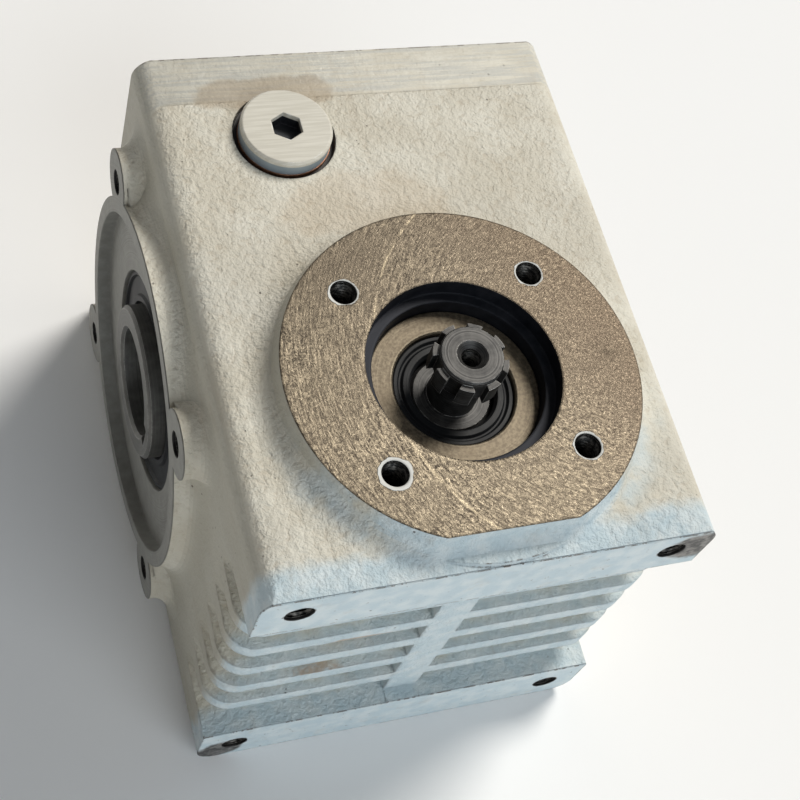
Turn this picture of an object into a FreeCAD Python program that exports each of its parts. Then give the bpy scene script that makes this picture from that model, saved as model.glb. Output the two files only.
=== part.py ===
import FreeCAD
import Part
import Sketcher
import math
import os
import re

# Worm gearbox for an electric motor: cast housing on two foot rails, motor flange on top,
# hollow output shaft across. Origin in the centre of the output bore, output axis along X,
# worm axis along Z below it, motor flange facing +Z, foot rails facing -Y. Millimetres.

doc = FreeCAD.newDocument("motor_gearbox")
sheet = doc.addObject("Spreadsheet::Sheet", "Sizes")

SIZES = {
    # housing block
    "centre_distance": 50,
    "foot_to_worm": 57,
    "top_to_output": 73,
    "housing_left": 71,
    "housing_right": 66,
    "housing_depth": 142,
    "wall": 10,
    "cover_wall": 14,
    "corner_radius": 8,
    "boss_height": 8,
    "top_band_height": 18,
    "top_band_step": 0.6,
    "foot_bevel_height": 8,
    "foot_bevel_depth": 2,
    # foot rails, fins and grooves
    "rail_width": 24.5,
    "fin_recess": 5,
    "groove_depth": 7,
    "groove_width": 10,
    "groove_count": 6,
    "groove_round": 2.5,
    "wrap_radius": 9,
    "wrap_angle": 66,
    "groove_side_depth": 5,
    "groove_flare": 0.4,
    "groove_overrun": 4,
    "fin_corner_radius": 9,
    "bridge_width": 12,
    "foot_hole_radius": 4.3,
    "foot_hole_depth": 18,
    "foot_hole_inset_x": 12,
    "foot_hole_inset_z": 12,
    # motor flange
    "flange_radius": 53.5,
    "flange_draft": 2.5,
    "boss_root": 2,
    "flange_flat": 49.8,
    "pilot_radius": 29.2,
    "pilot_depth": 6,
    "flange_bolt_circle": 82,
    "flange_hole_radius": 4,
    "flange_hole_depth": 16,
    # output pads
    "pad_radius": 60,
    "lobe_radius": 10.5,
    "pad_hole_spacing": 92,
    "pad_hole_radius": 4,
    "pad_hole_depth": 14,
    "recess_radius": 55,
    "recess_depth": 4.5,
    # output hub and bearings
    "hub_half_length": 78.5,
    "journal_radius": 25,
    "bore_radius": 17.5,
    "key_width": 10,
    "key_depth": 3.3,
    "hub_shoulder_radius": 28.5,
    "hub_flange_radius": 34,
    "hub_flange_width": 3,
    "output_bearing_radius": 40,
    "output_bearing_width": 16,
    "output_bearing_inner": 46,
    "output_ball_radius": 4.35,
    "output_ball_count": 13,
    "output_seal_radius": 36,
    "output_seal_width": 8,
    "seal_setback": 1,
    "bearing_lip_radius": 34,
    "bearing_boss_wall": 7,
    "bearing_boss_gap": 0.5,
    "hub_chamfer": 1,
    # worm and wheel
    "gear_module": 2.5,
    "worm_starts": 2,
    "wheel_teeth": 32,
    "worm_half_length": 22,
    "worm_root_depth": 3.1,
    "worm_relief": 0.4,
    "rim_inner_radius": 31,
    "rim_half_width": 8,
    "rim_tip_extra": 0.4,
    "mesh_backlash": 0.35,
    "mesh_tip_gap": 0.5,
    "rim_pin_radius": 2,
    "rim_pin_length": 9,
    "rim_pin_count": 4,
    "rim_pin_end_gap": 0.5,
    "wheel_tip_room": 0.5,
    "wheel_side_room": 6,
    # worm bearings, seal and shaft end
    "worm_journal_radius": 12.5,
    "worm_collar_radius": 15.5,
    "worm_collar_width": 7,
    "worm_bearing_radius": 26,
    "worm_bearing_width": 15,
    "worm_bearing_inner": 41,
    "worm_ball_radius": 3.97,
    "worm_ball_count": 9,
    "worm_shoulder_radius": 22,
    "worm_shoulder_width": 4,
    "worm_boss_wall": 8,
    "carrier_setback": 11,
    "carrier_lip_radius": 15,
    "input_seal_radius": 18.5,
    "input_seal_width": 7,
    "input_seal_setback": 1.4,
    "seal_chamfer": 0.6,
    "seal_rim_wall": 1.6,
    "seal_case_wall": 2.2,
    "seal_web": 2.4,
    "seal_lip_root": 3.2,
    "dust_lip_depth": 0.9,
    "carrier_foot_width": 2,
    "carrier_chamfer": 0.5,
    "seat_end_setback": 15,
    "shaft_neck_radius": 7.5,
    "spline_root_radius": 9,
    "spline_tip_radius": 11.2,
    "spline_teeth": 8,
    "spline_slot_width": 4.2,
    "spline_length": 7.5,
    "spline_end_length": 1.6,
    "shaft_protrusion": 8,
    "centre_hole_radius": 3,
    "centre_hole_depth": 16,
    "countersink_radius": 4.7,
    "rear_overhang": 2,
    "circlip_width": 1.5,
    "circlip_depth": 1.4,
    "end_cap_width": 8,
    "end_cap_setback": 1,
    "end_cap_skin": 2.5,
    # side cover
    "cover_radius": 68,
    "cover_opening_radius": 54,
    "cover_spigot_length": 8,
    "cover_chamfer": 0.6,
    "cover_hole_gap": 0.3,
    "cover_head_gap": 0.4,
    "gasket_inset": 0.5,
    "gasket_bore_gap": 0.2,
    "gasket_thickness": 0.5,
    "cover_screw_circle": 122.4,
    "cover_screw_count": 8,
    "cover_screw_radius": 3,
    "cover_screw_head_radius": 5,
    "cover_screw_head_height": 6,
    "cover_screw_length": 15,
    "screw_head_gap": 0.6,
    # oil plug
    "plug_x": -30.5,
    "plug_y": 41,
    "plug_thread_radius": 11,
    "plug_head_radius": 14.3,
    "plug_head_height": 5.2,
    "plug_socket_across": 9,
    "plug_socket_depth": 5,
    "plug_length": 13,
    "plug_seat_radius": 16,
    "plug_seat_depth": 2,
    "washer_thickness": 1.5,
    # fits
    "running_gap": 0.05,
    "slide_gap": 0.02,
}

for row, (alias, value) in enumerate(SIZES.items(), 1):
    sheet.set("A%d" % row, alias)
    sheet.set("B%d" % row, str(value))
    sheet.setAlias("B%d" % row, alias)
doc.recompute()

# Derived places, written from the driving sizes above.
PLACES = {
    "front": "housing_depth / 2",
    "flange_face": "front + boss_height",
    "foot": "-(centre_distance + foot_to_worm)",
    "worm_y": "-centre_distance",
    "block_middle": "(housing_right - housing_left) / 2",
    "pad_face": "housing_left + boss_height",
    "cover_inner": "housing_right + gasket_thickness",
    "recess_floor": "pad_face - recess_depth",
    "seal_outer": "recess_floor - seal_setback",
    "seal_inner": "seal_outer - output_seal_width",
    "bearing_outer": "output_bearing_inner + output_bearing_width",
    "boss_radius": "output_bearing_radius + bearing_boss_wall",
    "boss_inner": "output_bearing_inner - bearing_boss_gap",
    "fin_tip": "foot + fin_recess",
    "groove_floor": "fin_tip + groove_depth",
    "rail_gap": "housing_depth - 2 * rail_width",
    "groove_pitch": "(rail_gap - groove_width) / (groove_count - 1)",
    "worm_pitch_radius": "centre_distance - gear_module * wheel_teeth / 2",
    "worm_tip_radius": "worm_pitch_radius + gear_module",
    "worm_neck": "worm_pitch_radius - worm_root_depth - worm_relief",
    "worm_bearing_outer": "worm_bearing_inner + worm_bearing_width",
    "carrier_face": "flange_face - carrier_setback",
    "input_seal_outer": "carrier_face - input_seal_setback",
    "input_seal_inner": "input_seal_outer - input_seal_width",
    "shaft_end": "flange_face + shaft_protrusion",
    "spline_start": "shaft_end - spline_end_length - spline_length",
    "seat_end": "flange_face - seat_end_setback",
    "plug_seat": "front - plug_seat_depth",
    "plug_under": "plug_seat + washer_thickness",
    "screw_seat": "pad_face - cover_screw_head_height - screw_head_gap",
}


def formula(text):
    """Write out derived places and point every size name at the sheet."""
    def word(match):
        name = match.group(0)
        if name in PLACES:
            return "(" + formula(PLACES[name]) + ")"
        if name in SIZES:
            return "Sizes." + name
        return name
    return re.sub(r"[a-z][a-z_]+", word, str(text))


def size(name):
    return float(sheet.get(name))


def bind(target, path, text):
    target.setExpression(path, formula(text))


def new_body(label):
    body = doc.addObject("PartDesign::Body", label)
    body.Label = label
    return body


def origin_feature(body, role):
    return [f for f in body.Origin.OriginFeatures if f.Role == role][0]


def outline(body, role, name, points, offset=None):
    """A closed sketch whose corners sit at the given pairs of formulas."""
    sketch = body.newObject("Sketcher::SketchObject", name)
    sketch.AttachmentSupport = [(origin_feature(body, role), "")]
    sketch.MapMode = "FlatFace"
    if offset:
        bind(sketch, "AttachmentOffset.Base.z", offset)
    count = len(points)
    corners = [FreeCAD.Vector(math.cos(6.283 * i / count), math.sin(6.283 * i / count), 0) for i in range(count)]
    for i in range(count):
        sketch.addGeometry(Part.LineSegment(corners[i], corners[(i + 1) % count]), False)
    for i in range(count):
        sketch.addConstraint(Sketcher.Constraint("Coincident", i, 2, (i + 1) % count, 1))
    for i, pair in enumerate(points):
        for kind, axis, text in (("DistanceX", -2, pair[0]), ("DistanceY", -1, pair[1])):
            if text == "0":
                sketch.addConstraint(Sketcher.Constraint("PointOnObject", i, 1, axis))
            else:
                index = sketch.addConstraint(Sketcher.Constraint(kind, -1, 1, i, 1, 1.0))
                bind(sketch, "Constraints[%d]" % index, text)
    return sketch


def turned(label, points, on_worm=False):
    """A turned body: corners are (place along the axis, radius)."""
    body = new_body(label)
    sketch = outline(body, "XY_Plane", label + "_profile", points)
    turn = body.newObject("PartDesign::Revolution", label + "_turned")
    turn.Profile = sketch
    turn.ReferenceAxis = (sketch, ["H_Axis"])
    turn.Angle = 360
    if on_worm:
        along_z(body, "0", "worm_y", "0")
    return body


def along_z(body, x_text, y_text, z_text):
    """Stand a body that was made along X up along Z at the given place."""
    body.Placement = FreeCAD.Placement(FreeCAD.Vector(), FreeCAD.Rotation(FreeCAD.Vector(0, 1, 0), -90))
    for letter, text in zip("xyz", (x_text, y_text, z_text)):
        bind(body, "Placement.Base." + letter, text)


AIM = {
    "x": FreeCAD.Rotation(FreeCAD.Vector(0, 1, 0), 90),
    "y": FreeCAD.Rotation(FreeCAD.Vector(1, 0, 0), -90),
    "z": FreeCAD.Rotation(),
}


def primitive(body, kind, name, sizes, base, aim="z"):
    item = body.newObject("PartDesign::" + kind, name)
    item.Placement = FreeCAD.Placement(FreeCAD.Vector(), AIM[aim])
    for key, text in sizes.items():
        bind(item, key, text)
    for letter, text in zip("xyz", base):
        bind(item, "Placement.Base." + letter, text)
    return item


def box(body, kind, name, x_pair, y_pair, z_pair):
    """A box between two places along each axis."""
    sizes = {}
    for key, pair in zip(("Length", "Width", "Height"), (x_pair, y_pair, z_pair)):
        sizes[key] = "(%s) - (%s)" % (pair[1], pair[0])
    return primitive(body, kind + "Box", name, sizes, (x_pair[0], y_pair[0], z_pair[0]))


def rod(body, kind, name, radius, pair, centre, aim):
    """A cylinder between two places along one axis, centred on the other two. Cuts start 1 mm clear of a face."""
    base = {
        "x": (pair[0], centre[0], centre[1]),
        "y": (centre[0], pair[0], centre[1]),
        "z": (centre[0], centre[1], pair[0]),
    }[aim]
    sizes = {"Radius": radius, "Height": "(%s) - (%s)" % (pair[1], pair[0])}
    return primitive(body, kind + "Cylinder", name, sizes, base, aim)


def pattern(body, feature, role, count_text):
    """Repeat a feature evenly round an origin axis of its body."""
    polar = body.newObject("PartDesign::PolarPattern", feature.Name + "_ring")
    polar.Originals = [feature]
    polar.Axis = (origin_feature(body, role), [""])
    polar.Angle = 360
    bind(polar, "Occurrences", count_text)
    body.Tip = polar
    return polar


def edges_where(shape, test):
    return ["Edge%d" % (i + 1) for i, edge in enumerate(shape.Edges) if test(edge)]


def scripted(label, shape, base=None):
    item = doc.addObject("Part::Feature", label)
    item.Label = label
    item.Shape = shape
    if base:
        item.Placement = base
    return item


# housing
housing = new_body("housing")
block = box(housing, "Additive", "block", ("-housing_left", "housing_right"), ("foot", "top_to_output"),
            ("-front", "front"))
doc.recompute()


def upright(edge):
    ends = [v.Point for v in edge.Vertexes]
    return len(ends) == 2 and abs(ends[0].y - ends[1].y) > 50


rounded = housing.newObject("PartDesign::Fillet", "rounded_corners")
rounded.Base = (block, edges_where(block.Shape, upright))
bind(rounded, "Radius", "corner_radius")

box(housing, "Subtractive", "top_band", ("-housing_left - 1", "housing_right + 1"),
    ("top_to_output - top_band_height", "top_to_output + 1"), ("front - top_band_step", "front + 1"))

bevel_sketch = outline(housing, "YZ_Plane", "bevel_profile", [
    ("foot - foot_bevel_height", "front - 2 * foot_bevel_depth"),
    ("foot - foot_bevel_height", "front + foot_bevel_depth"),
    ("foot + 2 * foot_bevel_height", "front + foot_bevel_depth"),
])
bevel = housing.newObject("PartDesign::Pocket", "foot_bevel")
bevel.Profile = bevel_sketch
bevel.Type = 1
bevel.Midplane = True

primitive(housing, "AdditiveCone", "flange_boss", {
    "Radius1": "flange_radius + flange_draft * (boss_height + boss_root) / boss_height",
    "Radius2": "flange_radius",
    "Height": "boss_height + boss_root",
}, ("0", "worm_y", "front - boss_root"))
box(housing, "Subtractive", "flange_flat_cut", ("-flange_flat / 2", "flange_flat / 2"),
    ("foot - 1", "worm_y - flange_flat"), ("front - foot_bevel_depth / 4", "flange_face + 1"))

# left output pad with its four lobes
rod(housing, "Additive", "left_pad", "pad_radius", ("-pad_face", "-housing_left + wall"), ("0", "0"), "x")
lobe = rod(housing, "Additive", "pad_lobe", "lobe_radius", ("-pad_face", "-housing_left + wall"),
           ("pad_hole_spacing / 2", "pad_hole_spacing / 2"), "x")
pattern(housing, lobe, "X_Axis", "4")

# inside of the housing, then the bosses that carry the bearings
box(housing, "Subtractive", "cavity", ("wall - housing_left", "housing_right - cover_wall"),
    ("groove_floor + wall", "top_to_output - wall"), ("wall - front", "front - wall"))
rod(housing, "Additive", "output_boss", "boss_radius", ("wall / 2 - housing_left", "-boss_inner"),
    ("0", "0"), "x")
worm_boss_pair = ("worm_bearing_inner - worm_shoulder_width", "front - wall / 2")
rod(housing, "Additive", "front_boss", "worm_bearing_radius + worm_boss_wall", worm_boss_pair, ("0", "worm_y"), "z")
rod(housing, "Additive", "rear_boss", "worm_bearing_radius + worm_boss_wall",
    ("wall / 2 - front", "worm_shoulder_width - worm_bearing_inner"), ("0", "worm_y"), "z")
rod(housing, "Subtractive", "wheel_room", "centre_distance - gear_module + wheel_tip_room",
    ("-rim_half_width - wheel_side_room", "rim_half_width + wheel_side_room"), ("0", "0"), "x")

# bores of the worm line
rod(housing, "Subtractive", "front_shoulder_bore", "worm_shoulder_radius",
    ("worm_bearing_inner - worm_shoulder_width - 1", "worm_bearing_inner + 1"), ("0", "worm_y"), "z")
rod(housing, "Subtractive", "front_bearing_bore", "worm_bearing_radius",
    ("worm_bearing_inner", "flange_face"), ("0", "worm_y"), "z")
rod(housing, "Subtractive", "pilot_bore", "pilot_radius", ("flange_face - pilot_depth", "flange_face + 1"),
    ("0", "worm_y"), "z")
rod(housing, "Subtractive", "rear_shoulder_bore", "worm_shoulder_radius",
    ("-worm_bearing_inner - 1", "worm_shoulder_width + 1 - worm_bearing_inner"), ("0", "worm_y"), "z")
rod(housing, "Subtractive", "rear_bearing_bore", "worm_bearing_radius",
    ("-front - 1", "-worm_bearing_inner"), ("0", "worm_y"), "z")
rod(housing, "Subtractive", "rear_clip_groove", "worm_bearing_radius + circlip_depth",
    ("-worm_bearing_outer - circlip_width - slide_gap", "-worm_bearing_outer"), ("0", "worm_y"), "z")

# bores of the output line
rod(housing, "Subtractive", "left_bearing_bore", "output_bearing_radius", ("-bearing_outer", "-boss_inner + 1"),
    ("0", "0"), "x")
rod(housing, "Subtractive", "left_lip_bore", "bearing_lip_radius", ("-seal_inner - 1", "-bearing_outer + 1"),
    ("0", "0"), "x")
rod(housing, "Subtractive", "left_seal_bore", "output_seal_radius", ("-pad_face", "-seal_inner"),
    ("0", "0"), "x")
rod(housing, "Subtractive", "left_recess", "recess_radius", ("-pad_face - 1", "-recess_floor"),
    ("0", "0"), "x")
rod(housing, "Subtractive", "cover_opening", "cover_opening_radius",
    ("housing_right - cover_wall - 1", "housing_right + 1"), ("0", "0"), "x")

# tapped holes: motor flange, output pad, cover, foot rails, plug
hole_step = "flange_bolt_circle / 2 * cos(45 deg)"
for sign_x in ("-", ""):
    for sign_y in ("-", "+"):
        rod(housing, "Subtractive", "flange_hole", "flange_hole_radius",
            ("flange_face - flange_hole_depth", "flange_face + 1"),
            (sign_x + hole_step, "worm_y" + sign_y + hole_step), "z")
pad_hole = rod(housing, "Subtractive", "pad_hole", "pad_hole_radius",
               ("-pad_face - 1", "pad_hole_depth - pad_face"),
               ("pad_hole_spacing / 2", "pad_hole_spacing / 2"), "x")
pattern(housing, pad_hole, "X_Axis", "4")
screw_y = "cover_screw_circle / 2 * cos(22.5 deg)"
screw_z = "cover_screw_circle / 2 * sin(22.5 deg)"
cover_hole = rod(housing, "Subtractive", "cover_hole", "cover_screw_radius",
                 ("screw_seat - cover_screw_length - 1", "housing_right + 1"), (screw_y, screw_z), "x")
pattern(housing, cover_hole, "X_Axis", "cover_screw_count")
for x_text in ("foot_hole_inset_x - housing_left", "housing_right - foot_hole_inset_x"):
    for z_text in ("foot_hole_inset_z - front", "front - foot_hole_inset_z"):
        rod(housing, "Subtractive", "foot_hole", "foot_hole_radius", ("foot - 1", "foot + foot_hole_depth"),
            (x_text, z_text), "y")
rod(housing, "Subtractive", "plug_hole", "plug_thread_radius", ("front - wall - 1", "front + 1"),
    ("plug_x", "plug_y"), "z")
rod(housing, "Subtractive", "plug_seat_cut", "plug_seat_radius", ("plug_seat", "front + 1"),
    ("plug_x", "plug_y"), "z")

# fins between the rails, set back from the foot plane, with a bridge down the middle
for name, pair in (("left_fins", ("-housing_left - 1", "block_middle - bridge_width / 2")),
                   ("right_fins", ("block_middle + bridge_width / 2", "housing_right + 1"))):
    box(housing, "Subtractive", name, pair, ("foot - 1", "fin_tip"), ("-rail_gap / 2", "rail_gap / 2"))
doc.recompute()


def fin_corner(edge):
    ends = [v.Point for v in edge.Vertexes]
    if len(ends) != 2 or abs(ends[0].z - ends[1].z) < size("housing_depth") / 3:
        return False
    height = -(size("centre_distance") + size("foot_to_worm")) + size("fin_recess")
    at_side = min(abs(ends[0].x + size("housing_left")), abs(ends[0].x - size("housing_right"))) < 0.01
    return at_side and abs(ends[0].y - height) < 0.01


fin_base = housing.Tip
fin_round = housing.newObject("PartDesign::Fillet", "fin_corners")
fin_round.Base = (fin_base, edges_where(fin_base.Shape, fin_corner))
bind(fin_round, "Radius", "fin_corner_radius")

# grooves: a round-bottomed channel swept along the foot and up round the corner
groove_half = "groove_width / 2"
groove_z = "(groove_count - 1) * groove_pitch / 2"
swept = []
for name, sign, start, side in (
        ("left", "-", "block_middle - bridge_width / 2", "-housing_left"),
        ("right", "+", "block_middle + bridge_width / 2", "housing_right")):
    section = outline(housing, "YZ_Plane", name + "_groove_section", [
        ("groove_floor", groove_z + " - " + groove_half + " + groove_round"),
        ("groove_floor - groove_round * 0.3", groove_z + " - " + groove_half + " + groove_round * 0.3"),
        ("groove_floor - groove_round", groove_z + " - " + groove_half),
        ("foot - groove_overrun", groove_z + " - " + groove_half + " - groove_flare"),
        ("foot - groove_overrun", groove_z + " + " + groove_half + " + groove_flare"),
        ("groove_floor - groove_round", groove_z + " + " + groove_half),
        ("groove_floor - groove_round * 0.3", groove_z + " + " + groove_half + " - groove_round * 0.3"),
        ("groove_floor", groove_z + " + " + groove_half + " - groove_round"),
    ], offset=start)
    path = housing.newObject("Sketcher::SketchObject", name + "_groove_path")
    path.AttachmentSupport = [(origin_feature(housing, "XY_Plane"), "")]
    path.MapMode = "FlatFace"
    bind(path, "AttachmentOffset.Base.z", groove_z)
    way = -1 if sign == "-" else 1
    floor = size("fin_recess") + size("groove_depth") - size("centre_distance") - size("foot_to_worm")
    middle = (size("housing_right") - size("housing_left")) / 2
    edge_x = -size("housing_left") if way < 0 else size("housing_right")
    turn = math.radians(size("wrap_angle"))
    radius = size("wrap_radius")
    bend_x = edge_x - way * (size("groove_side_depth") + radius * math.sin(turn))
    start_x = middle + way * size("bridge_width") / 2
    arc_end = FreeCAD.Vector(bend_x + way * radius * math.sin(turn), floor + radius * (1 - math.cos(turn)), 0)
    far = arc_end + FreeCAD.Vector(way * math.cos(turn), math.sin(turn), 0) * 2 * radius
    path.addGeometry(Part.LineSegment(FreeCAD.Vector(start_x, floor, 0), FreeCAD.Vector(bend_x, floor, 0)), False)
    circle = Part.Circle(FreeCAD.Vector(bend_x, floor + radius, 0), FreeCAD.Vector(0, 0, 1), radius)
    down = math.radians(-90)
    arc = Part.ArcOfCircle(circle, down - turn, down) if way < 0 else Part.ArcOfCircle(circle, down, down + turn)
    path.addGeometry(arc, False)
    path.addGeometry(Part.LineSegment(arc_end, far), False)
    near_end = 1 if way > 0 else 2
    path.addConstraint(Sketcher.Constraint("Coincident", 0, 2, 1, near_end))
    path.addConstraint(Sketcher.Constraint("Coincident", 1, 3 - near_end, 2, 1))
    sine = "wrap_radius * sin(wrap_angle * 1 deg)"
    rise = "wrap_radius * (1 - cos(wrap_angle * 1 deg))"
    bend = ("%s + groove_side_depth + %s" if way < 0 else "%s - groove_side_depth - %s") % (side, sine)
    corner_x = ("%s - %s" if way < 0 else "%s + %s") % (bend, sine)
    exit_x = corner_x + (" - " if way < 0 else " + ") + "2 * wrap_radius * cos(wrap_angle * 1 deg)"
    exit_y = "groove_floor + %s + 2 * wrap_radius * sin(wrap_angle * 1 deg)" % rise
    for kind, index, end, value, text in (
            ("DistanceX", 0, 1, start_x, start),
            ("DistanceY", 0, 1, floor, "groove_floor"),
            ("DistanceX", 0, 2, bend_x, bend),
            ("DistanceY", 0, 2, floor, "groove_floor"),
            ("DistanceX", 1, 3, bend_x, bend),
            ("DistanceY", 1, 3, floor + radius, "groove_floor + wrap_radius"),
            ("DistanceX", 2, 1, arc_end.x, corner_x),
            ("DistanceX", 2, 2, far.x, exit_x),
            ("DistanceY", 2, 2, far.y, exit_y)):
        number = path.addConstraint(Sketcher.Constraint(kind, -1, 1, index, end, value))
        bind(path, "Constraints[%d]" % number, text)
    channel = housing.newObject("PartDesign::SubtractivePipe", name + "_groove")
    channel.Profile = section
    channel.Spine = (path, ["Edge1", "Edge2", "Edge3"])
    swept.append(channel)

repeat = housing.newObject("PartDesign::LinearPattern", "grooves")
repeat.Originals = swept
repeat.Direction = (origin_feature(housing, "Z_Axis"), [""])
repeat.Reversed = True
bind(repeat, "Length", "(groove_count - 1) * groove_pitch")
bind(repeat, "Occurrences", "groove_count")
housing.Tip = repeat

# side cover on the right
cover = turned("side_cover", [
    ("boss_inner", "output_bearing_radius"),
    ("boss_inner", "boss_radius"),
    ("housing_right - cover_spigot_length", "boss_radius"),
    ("housing_right - cover_spigot_length", "cover_opening_radius - slide_gap"),
    ("cover_inner", "cover_opening_radius - slide_gap"),
    ("cover_inner", "cover_radius"),
    ("pad_face - cover_chamfer", "cover_radius"),
    ("pad_face", "cover_radius - cover_chamfer"),
    ("pad_face", "recess_radius"),
    ("recess_floor", "recess_radius"),
    ("recess_floor", "output_seal_radius"),
    ("seal_inner", "output_seal_radius"),
    ("seal_inner", "bearing_lip_radius"),
    ("bearing_outer", "bearing_lip_radius"),
    ("bearing_outer", "output_bearing_radius"),
])
cover_lobe = rod(cover, "Additive", "cover_lobe", "lobe_radius", ("cover_inner", "pad_face"),
                 ("pad_hole_spacing / 2", "pad_hole_spacing / 2"), "x")
pattern(cover, cover_lobe, "X_Axis", "4")
rod(cover, "Subtractive", "recess_again", "recess_radius", ("recess_floor", "pad_face + 1"), ("0", "0"), "x")
cover_pad_hole = rod(cover, "Subtractive", "cover_pad_hole", "pad_hole_radius",
                     ("cover_inner + 1", "pad_face + 1"),
                     ("pad_hole_spacing / 2", "pad_hole_spacing / 2"), "x")
pattern(cover, cover_pad_hole, "X_Axis", "4")
cover_screw_hole = rod(cover, "Subtractive", "cover_screw_hole", "cover_screw_radius + cover_hole_gap",
                       ("cover_inner - 1", "pad_face + 1"), (screw_y, screw_z), "x")
pattern(cover, cover_screw_hole, "X_Axis", "cover_screw_count")
head_room = rod(cover, "Subtractive", "screw_head_room", "cover_screw_head_radius + cover_head_gap",
                ("screw_seat", "pad_face + 1"), (screw_y, screw_z), "x")
pattern(cover, head_room, "X_Axis", "cover_screw_count")

gasket = turned("cover_gasket", [
    ("housing_right", "cover_opening_radius + gasket_bore_gap"),
    ("housing_right", "cover_radius - gasket_inset"),
    ("cover_inner", "cover_radius - gasket_inset"),
    ("cover_inner", "cover_opening_radius + gasket_bore_gap"),
])
gasket_hole = rod(gasket, "Subtractive", "gasket_hole", "cover_screw_radius + cover_hole_gap",
                  ("housing_right - 1", "cover_inner + 1"), (screw_y, screw_z), "x")
pattern(gasket, gasket_hole, "X_Axis", "cover_screw_count")


def hexagon_prism(across, length):
    """A hexagonal prism along X that starts at the origin."""
    corner = across / 2 / math.cos(math.radians(30))
    ring = [FreeCAD.Vector(0, corner * math.cos(math.radians(60 * i)), corner * math.sin(math.radians(60 * i)))
            for i in range(7)]
    return Part.Face(Part.makePolygon(ring)).extrude(FreeCAD.Vector(length, 0, 0))


def shift(shape, x, y, z):
    moved = shape.copy()
    moved.translate(FreeCAD.Vector(x, y, z))
    return moved


X_WAY = FreeCAD.Vector(1, 0, 0)
ORIGIN = FreeCAD.Vector(0, 0, 0)
pad_face = size("housing_left") + size("boss_height")

# cover screws, socket heads sunk below the pad face
screw_seat = pad_face - size("cover_screw_head_height") - size("screw_head_gap")
head = Part.makeCylinder(size("cover_screw_head_radius"), size("cover_screw_head_height"), ORIGIN, X_WAY)
socket_depth = size("cover_screw_head_height") / 2
socket = shift(hexagon_prism(size("cover_screw_head_radius"), socket_depth + 1),
               size("cover_screw_head_height") - socket_depth, 0, 0)
shank_start = FreeCAD.Vector(-size("cover_screw_length"), 0, 0)
shank = Part.makeCylinder(size("cover_screw_radius") - size("slide_gap"), size("cover_screw_length"),
                          shank_start, X_WAY)
screw = head.cut(socket).fuse(shank).removeSplitter()
screws = []
for i in range(int(size("cover_screw_count"))):
    angle = math.radians(22.5 + 360.0 / size("cover_screw_count") * i)
    radius = size("cover_screw_circle") / 2
    screws.append(shift(screw, screw_seat, radius * math.cos(angle), radius * math.sin(angle)))
scripted("cover_screws", Part.makeCompound(screws))

# output hub: hollow cast shaft with the seat of the wheel rim
hub = turned("output_hub", [
    ("-hub_half_length", "bore_radius + hub_chamfer"),
    ("-hub_half_length", "journal_radius - hub_chamfer"),
    ("hub_chamfer - hub_half_length", "journal_radius"),
    ("-output_bearing_inner", "journal_radius"),
    ("-output_bearing_inner", "hub_shoulder_radius"),
    ("-rim_half_width", "hub_shoulder_radius"),
    ("-rim_half_width", "rim_inner_radius"),
    ("rim_half_width", "rim_inner_radius"),
    ("rim_half_width", "hub_flange_radius"),
    ("rim_half_width + hub_flange_width", "hub_flange_radius"),
    ("rim_half_width + hub_flange_width", "hub_shoulder_radius"),
    ("output_bearing_inner", "hub_shoulder_radius"),
    ("output_bearing_inner", "journal_radius"),
    ("hub_half_length - hub_chamfer", "journal_radius"),
    ("hub_half_length", "journal_radius - hub_chamfer"),
    ("hub_half_length", "bore_radius + hub_chamfer"),
    ("hub_half_length - hub_chamfer", "bore_radius"),
    ("hub_chamfer - hub_half_length", "bore_radius"),
])
box(hub, "Subtractive", "bore_keyway", ("-hub_half_length - 1", "hub_half_length + 1"),
    ("-bore_radius - key_depth", "-bore_radius / 2"), ("-key_width / 2", "key_width / 2"))
hub_pin_hole = rod(hub, "Subtractive", "hub_pin_hole", "rim_pin_radius",
                   ("-rim_half_width - 1", "rim_pin_length - rim_half_width"), ("rim_inner_radius", "0"), "x")
pattern(hub, hub_pin_hole, "X_Axis", "rim_pin_count")

# bronze rim: the gaps between its teeth follow the slope of the worm thread
module = size("gear_module")
teeth = int(size("wheel_teeth"))
wheel_radius = module * teeth / 2
worm_radius = size("centre_distance") - wheel_radius
worm_tip = worm_radius + module
axial_pitch = math.pi * module
lead = axial_pitch * size("worm_starts")
lead_slope = lead / (2 * math.pi * worm_radius)
pressure = math.radians(20)
root_radius = size("centre_distance") - worm_tip - size("mesh_tip_gap")
outer_radius = wheel_radius + module + size("rim_tip_extra")
base_radius = wheel_radius * math.cos(pressure)


def involute(angle):
    return math.tan(angle) - angle


def gap_half_width(radius, spare):
    """Half the space between two teeth at a radius, for involute flanks."""
    reach = max(radius, base_radius)
    angle = math.pi / (2 * teeth) - involute(pressure) + involute(math.acos(base_radius / reach))
    return angle * radius + spare / 2


def gap_section(x, spare):
    """The outline of one tooth gap at a place along the wheel axis."""
    radii = [root_radius, (root_radius + wheel_radius) / 2, wheel_radius, wheel_radius + module / 2,
             outer_radius + size("rim_tip_extra")]
    flank = [(radius, gap_half_width(radius, spare)) for radius in radii]
    points = [(radius, half) for radius, half in flank] + [(radius, -half) for radius, half in reversed(flank)]
    skew = x * lead_slope / wheel_radius
    ring = []
    for radius, half in points:
        spin = skew + half / radius
        ring.append(FreeCAD.Vector(x, -radius * math.cos(spin), -radius * math.sin(spin)))
    return Part.makePolygon(ring + [ring[0]])


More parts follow.
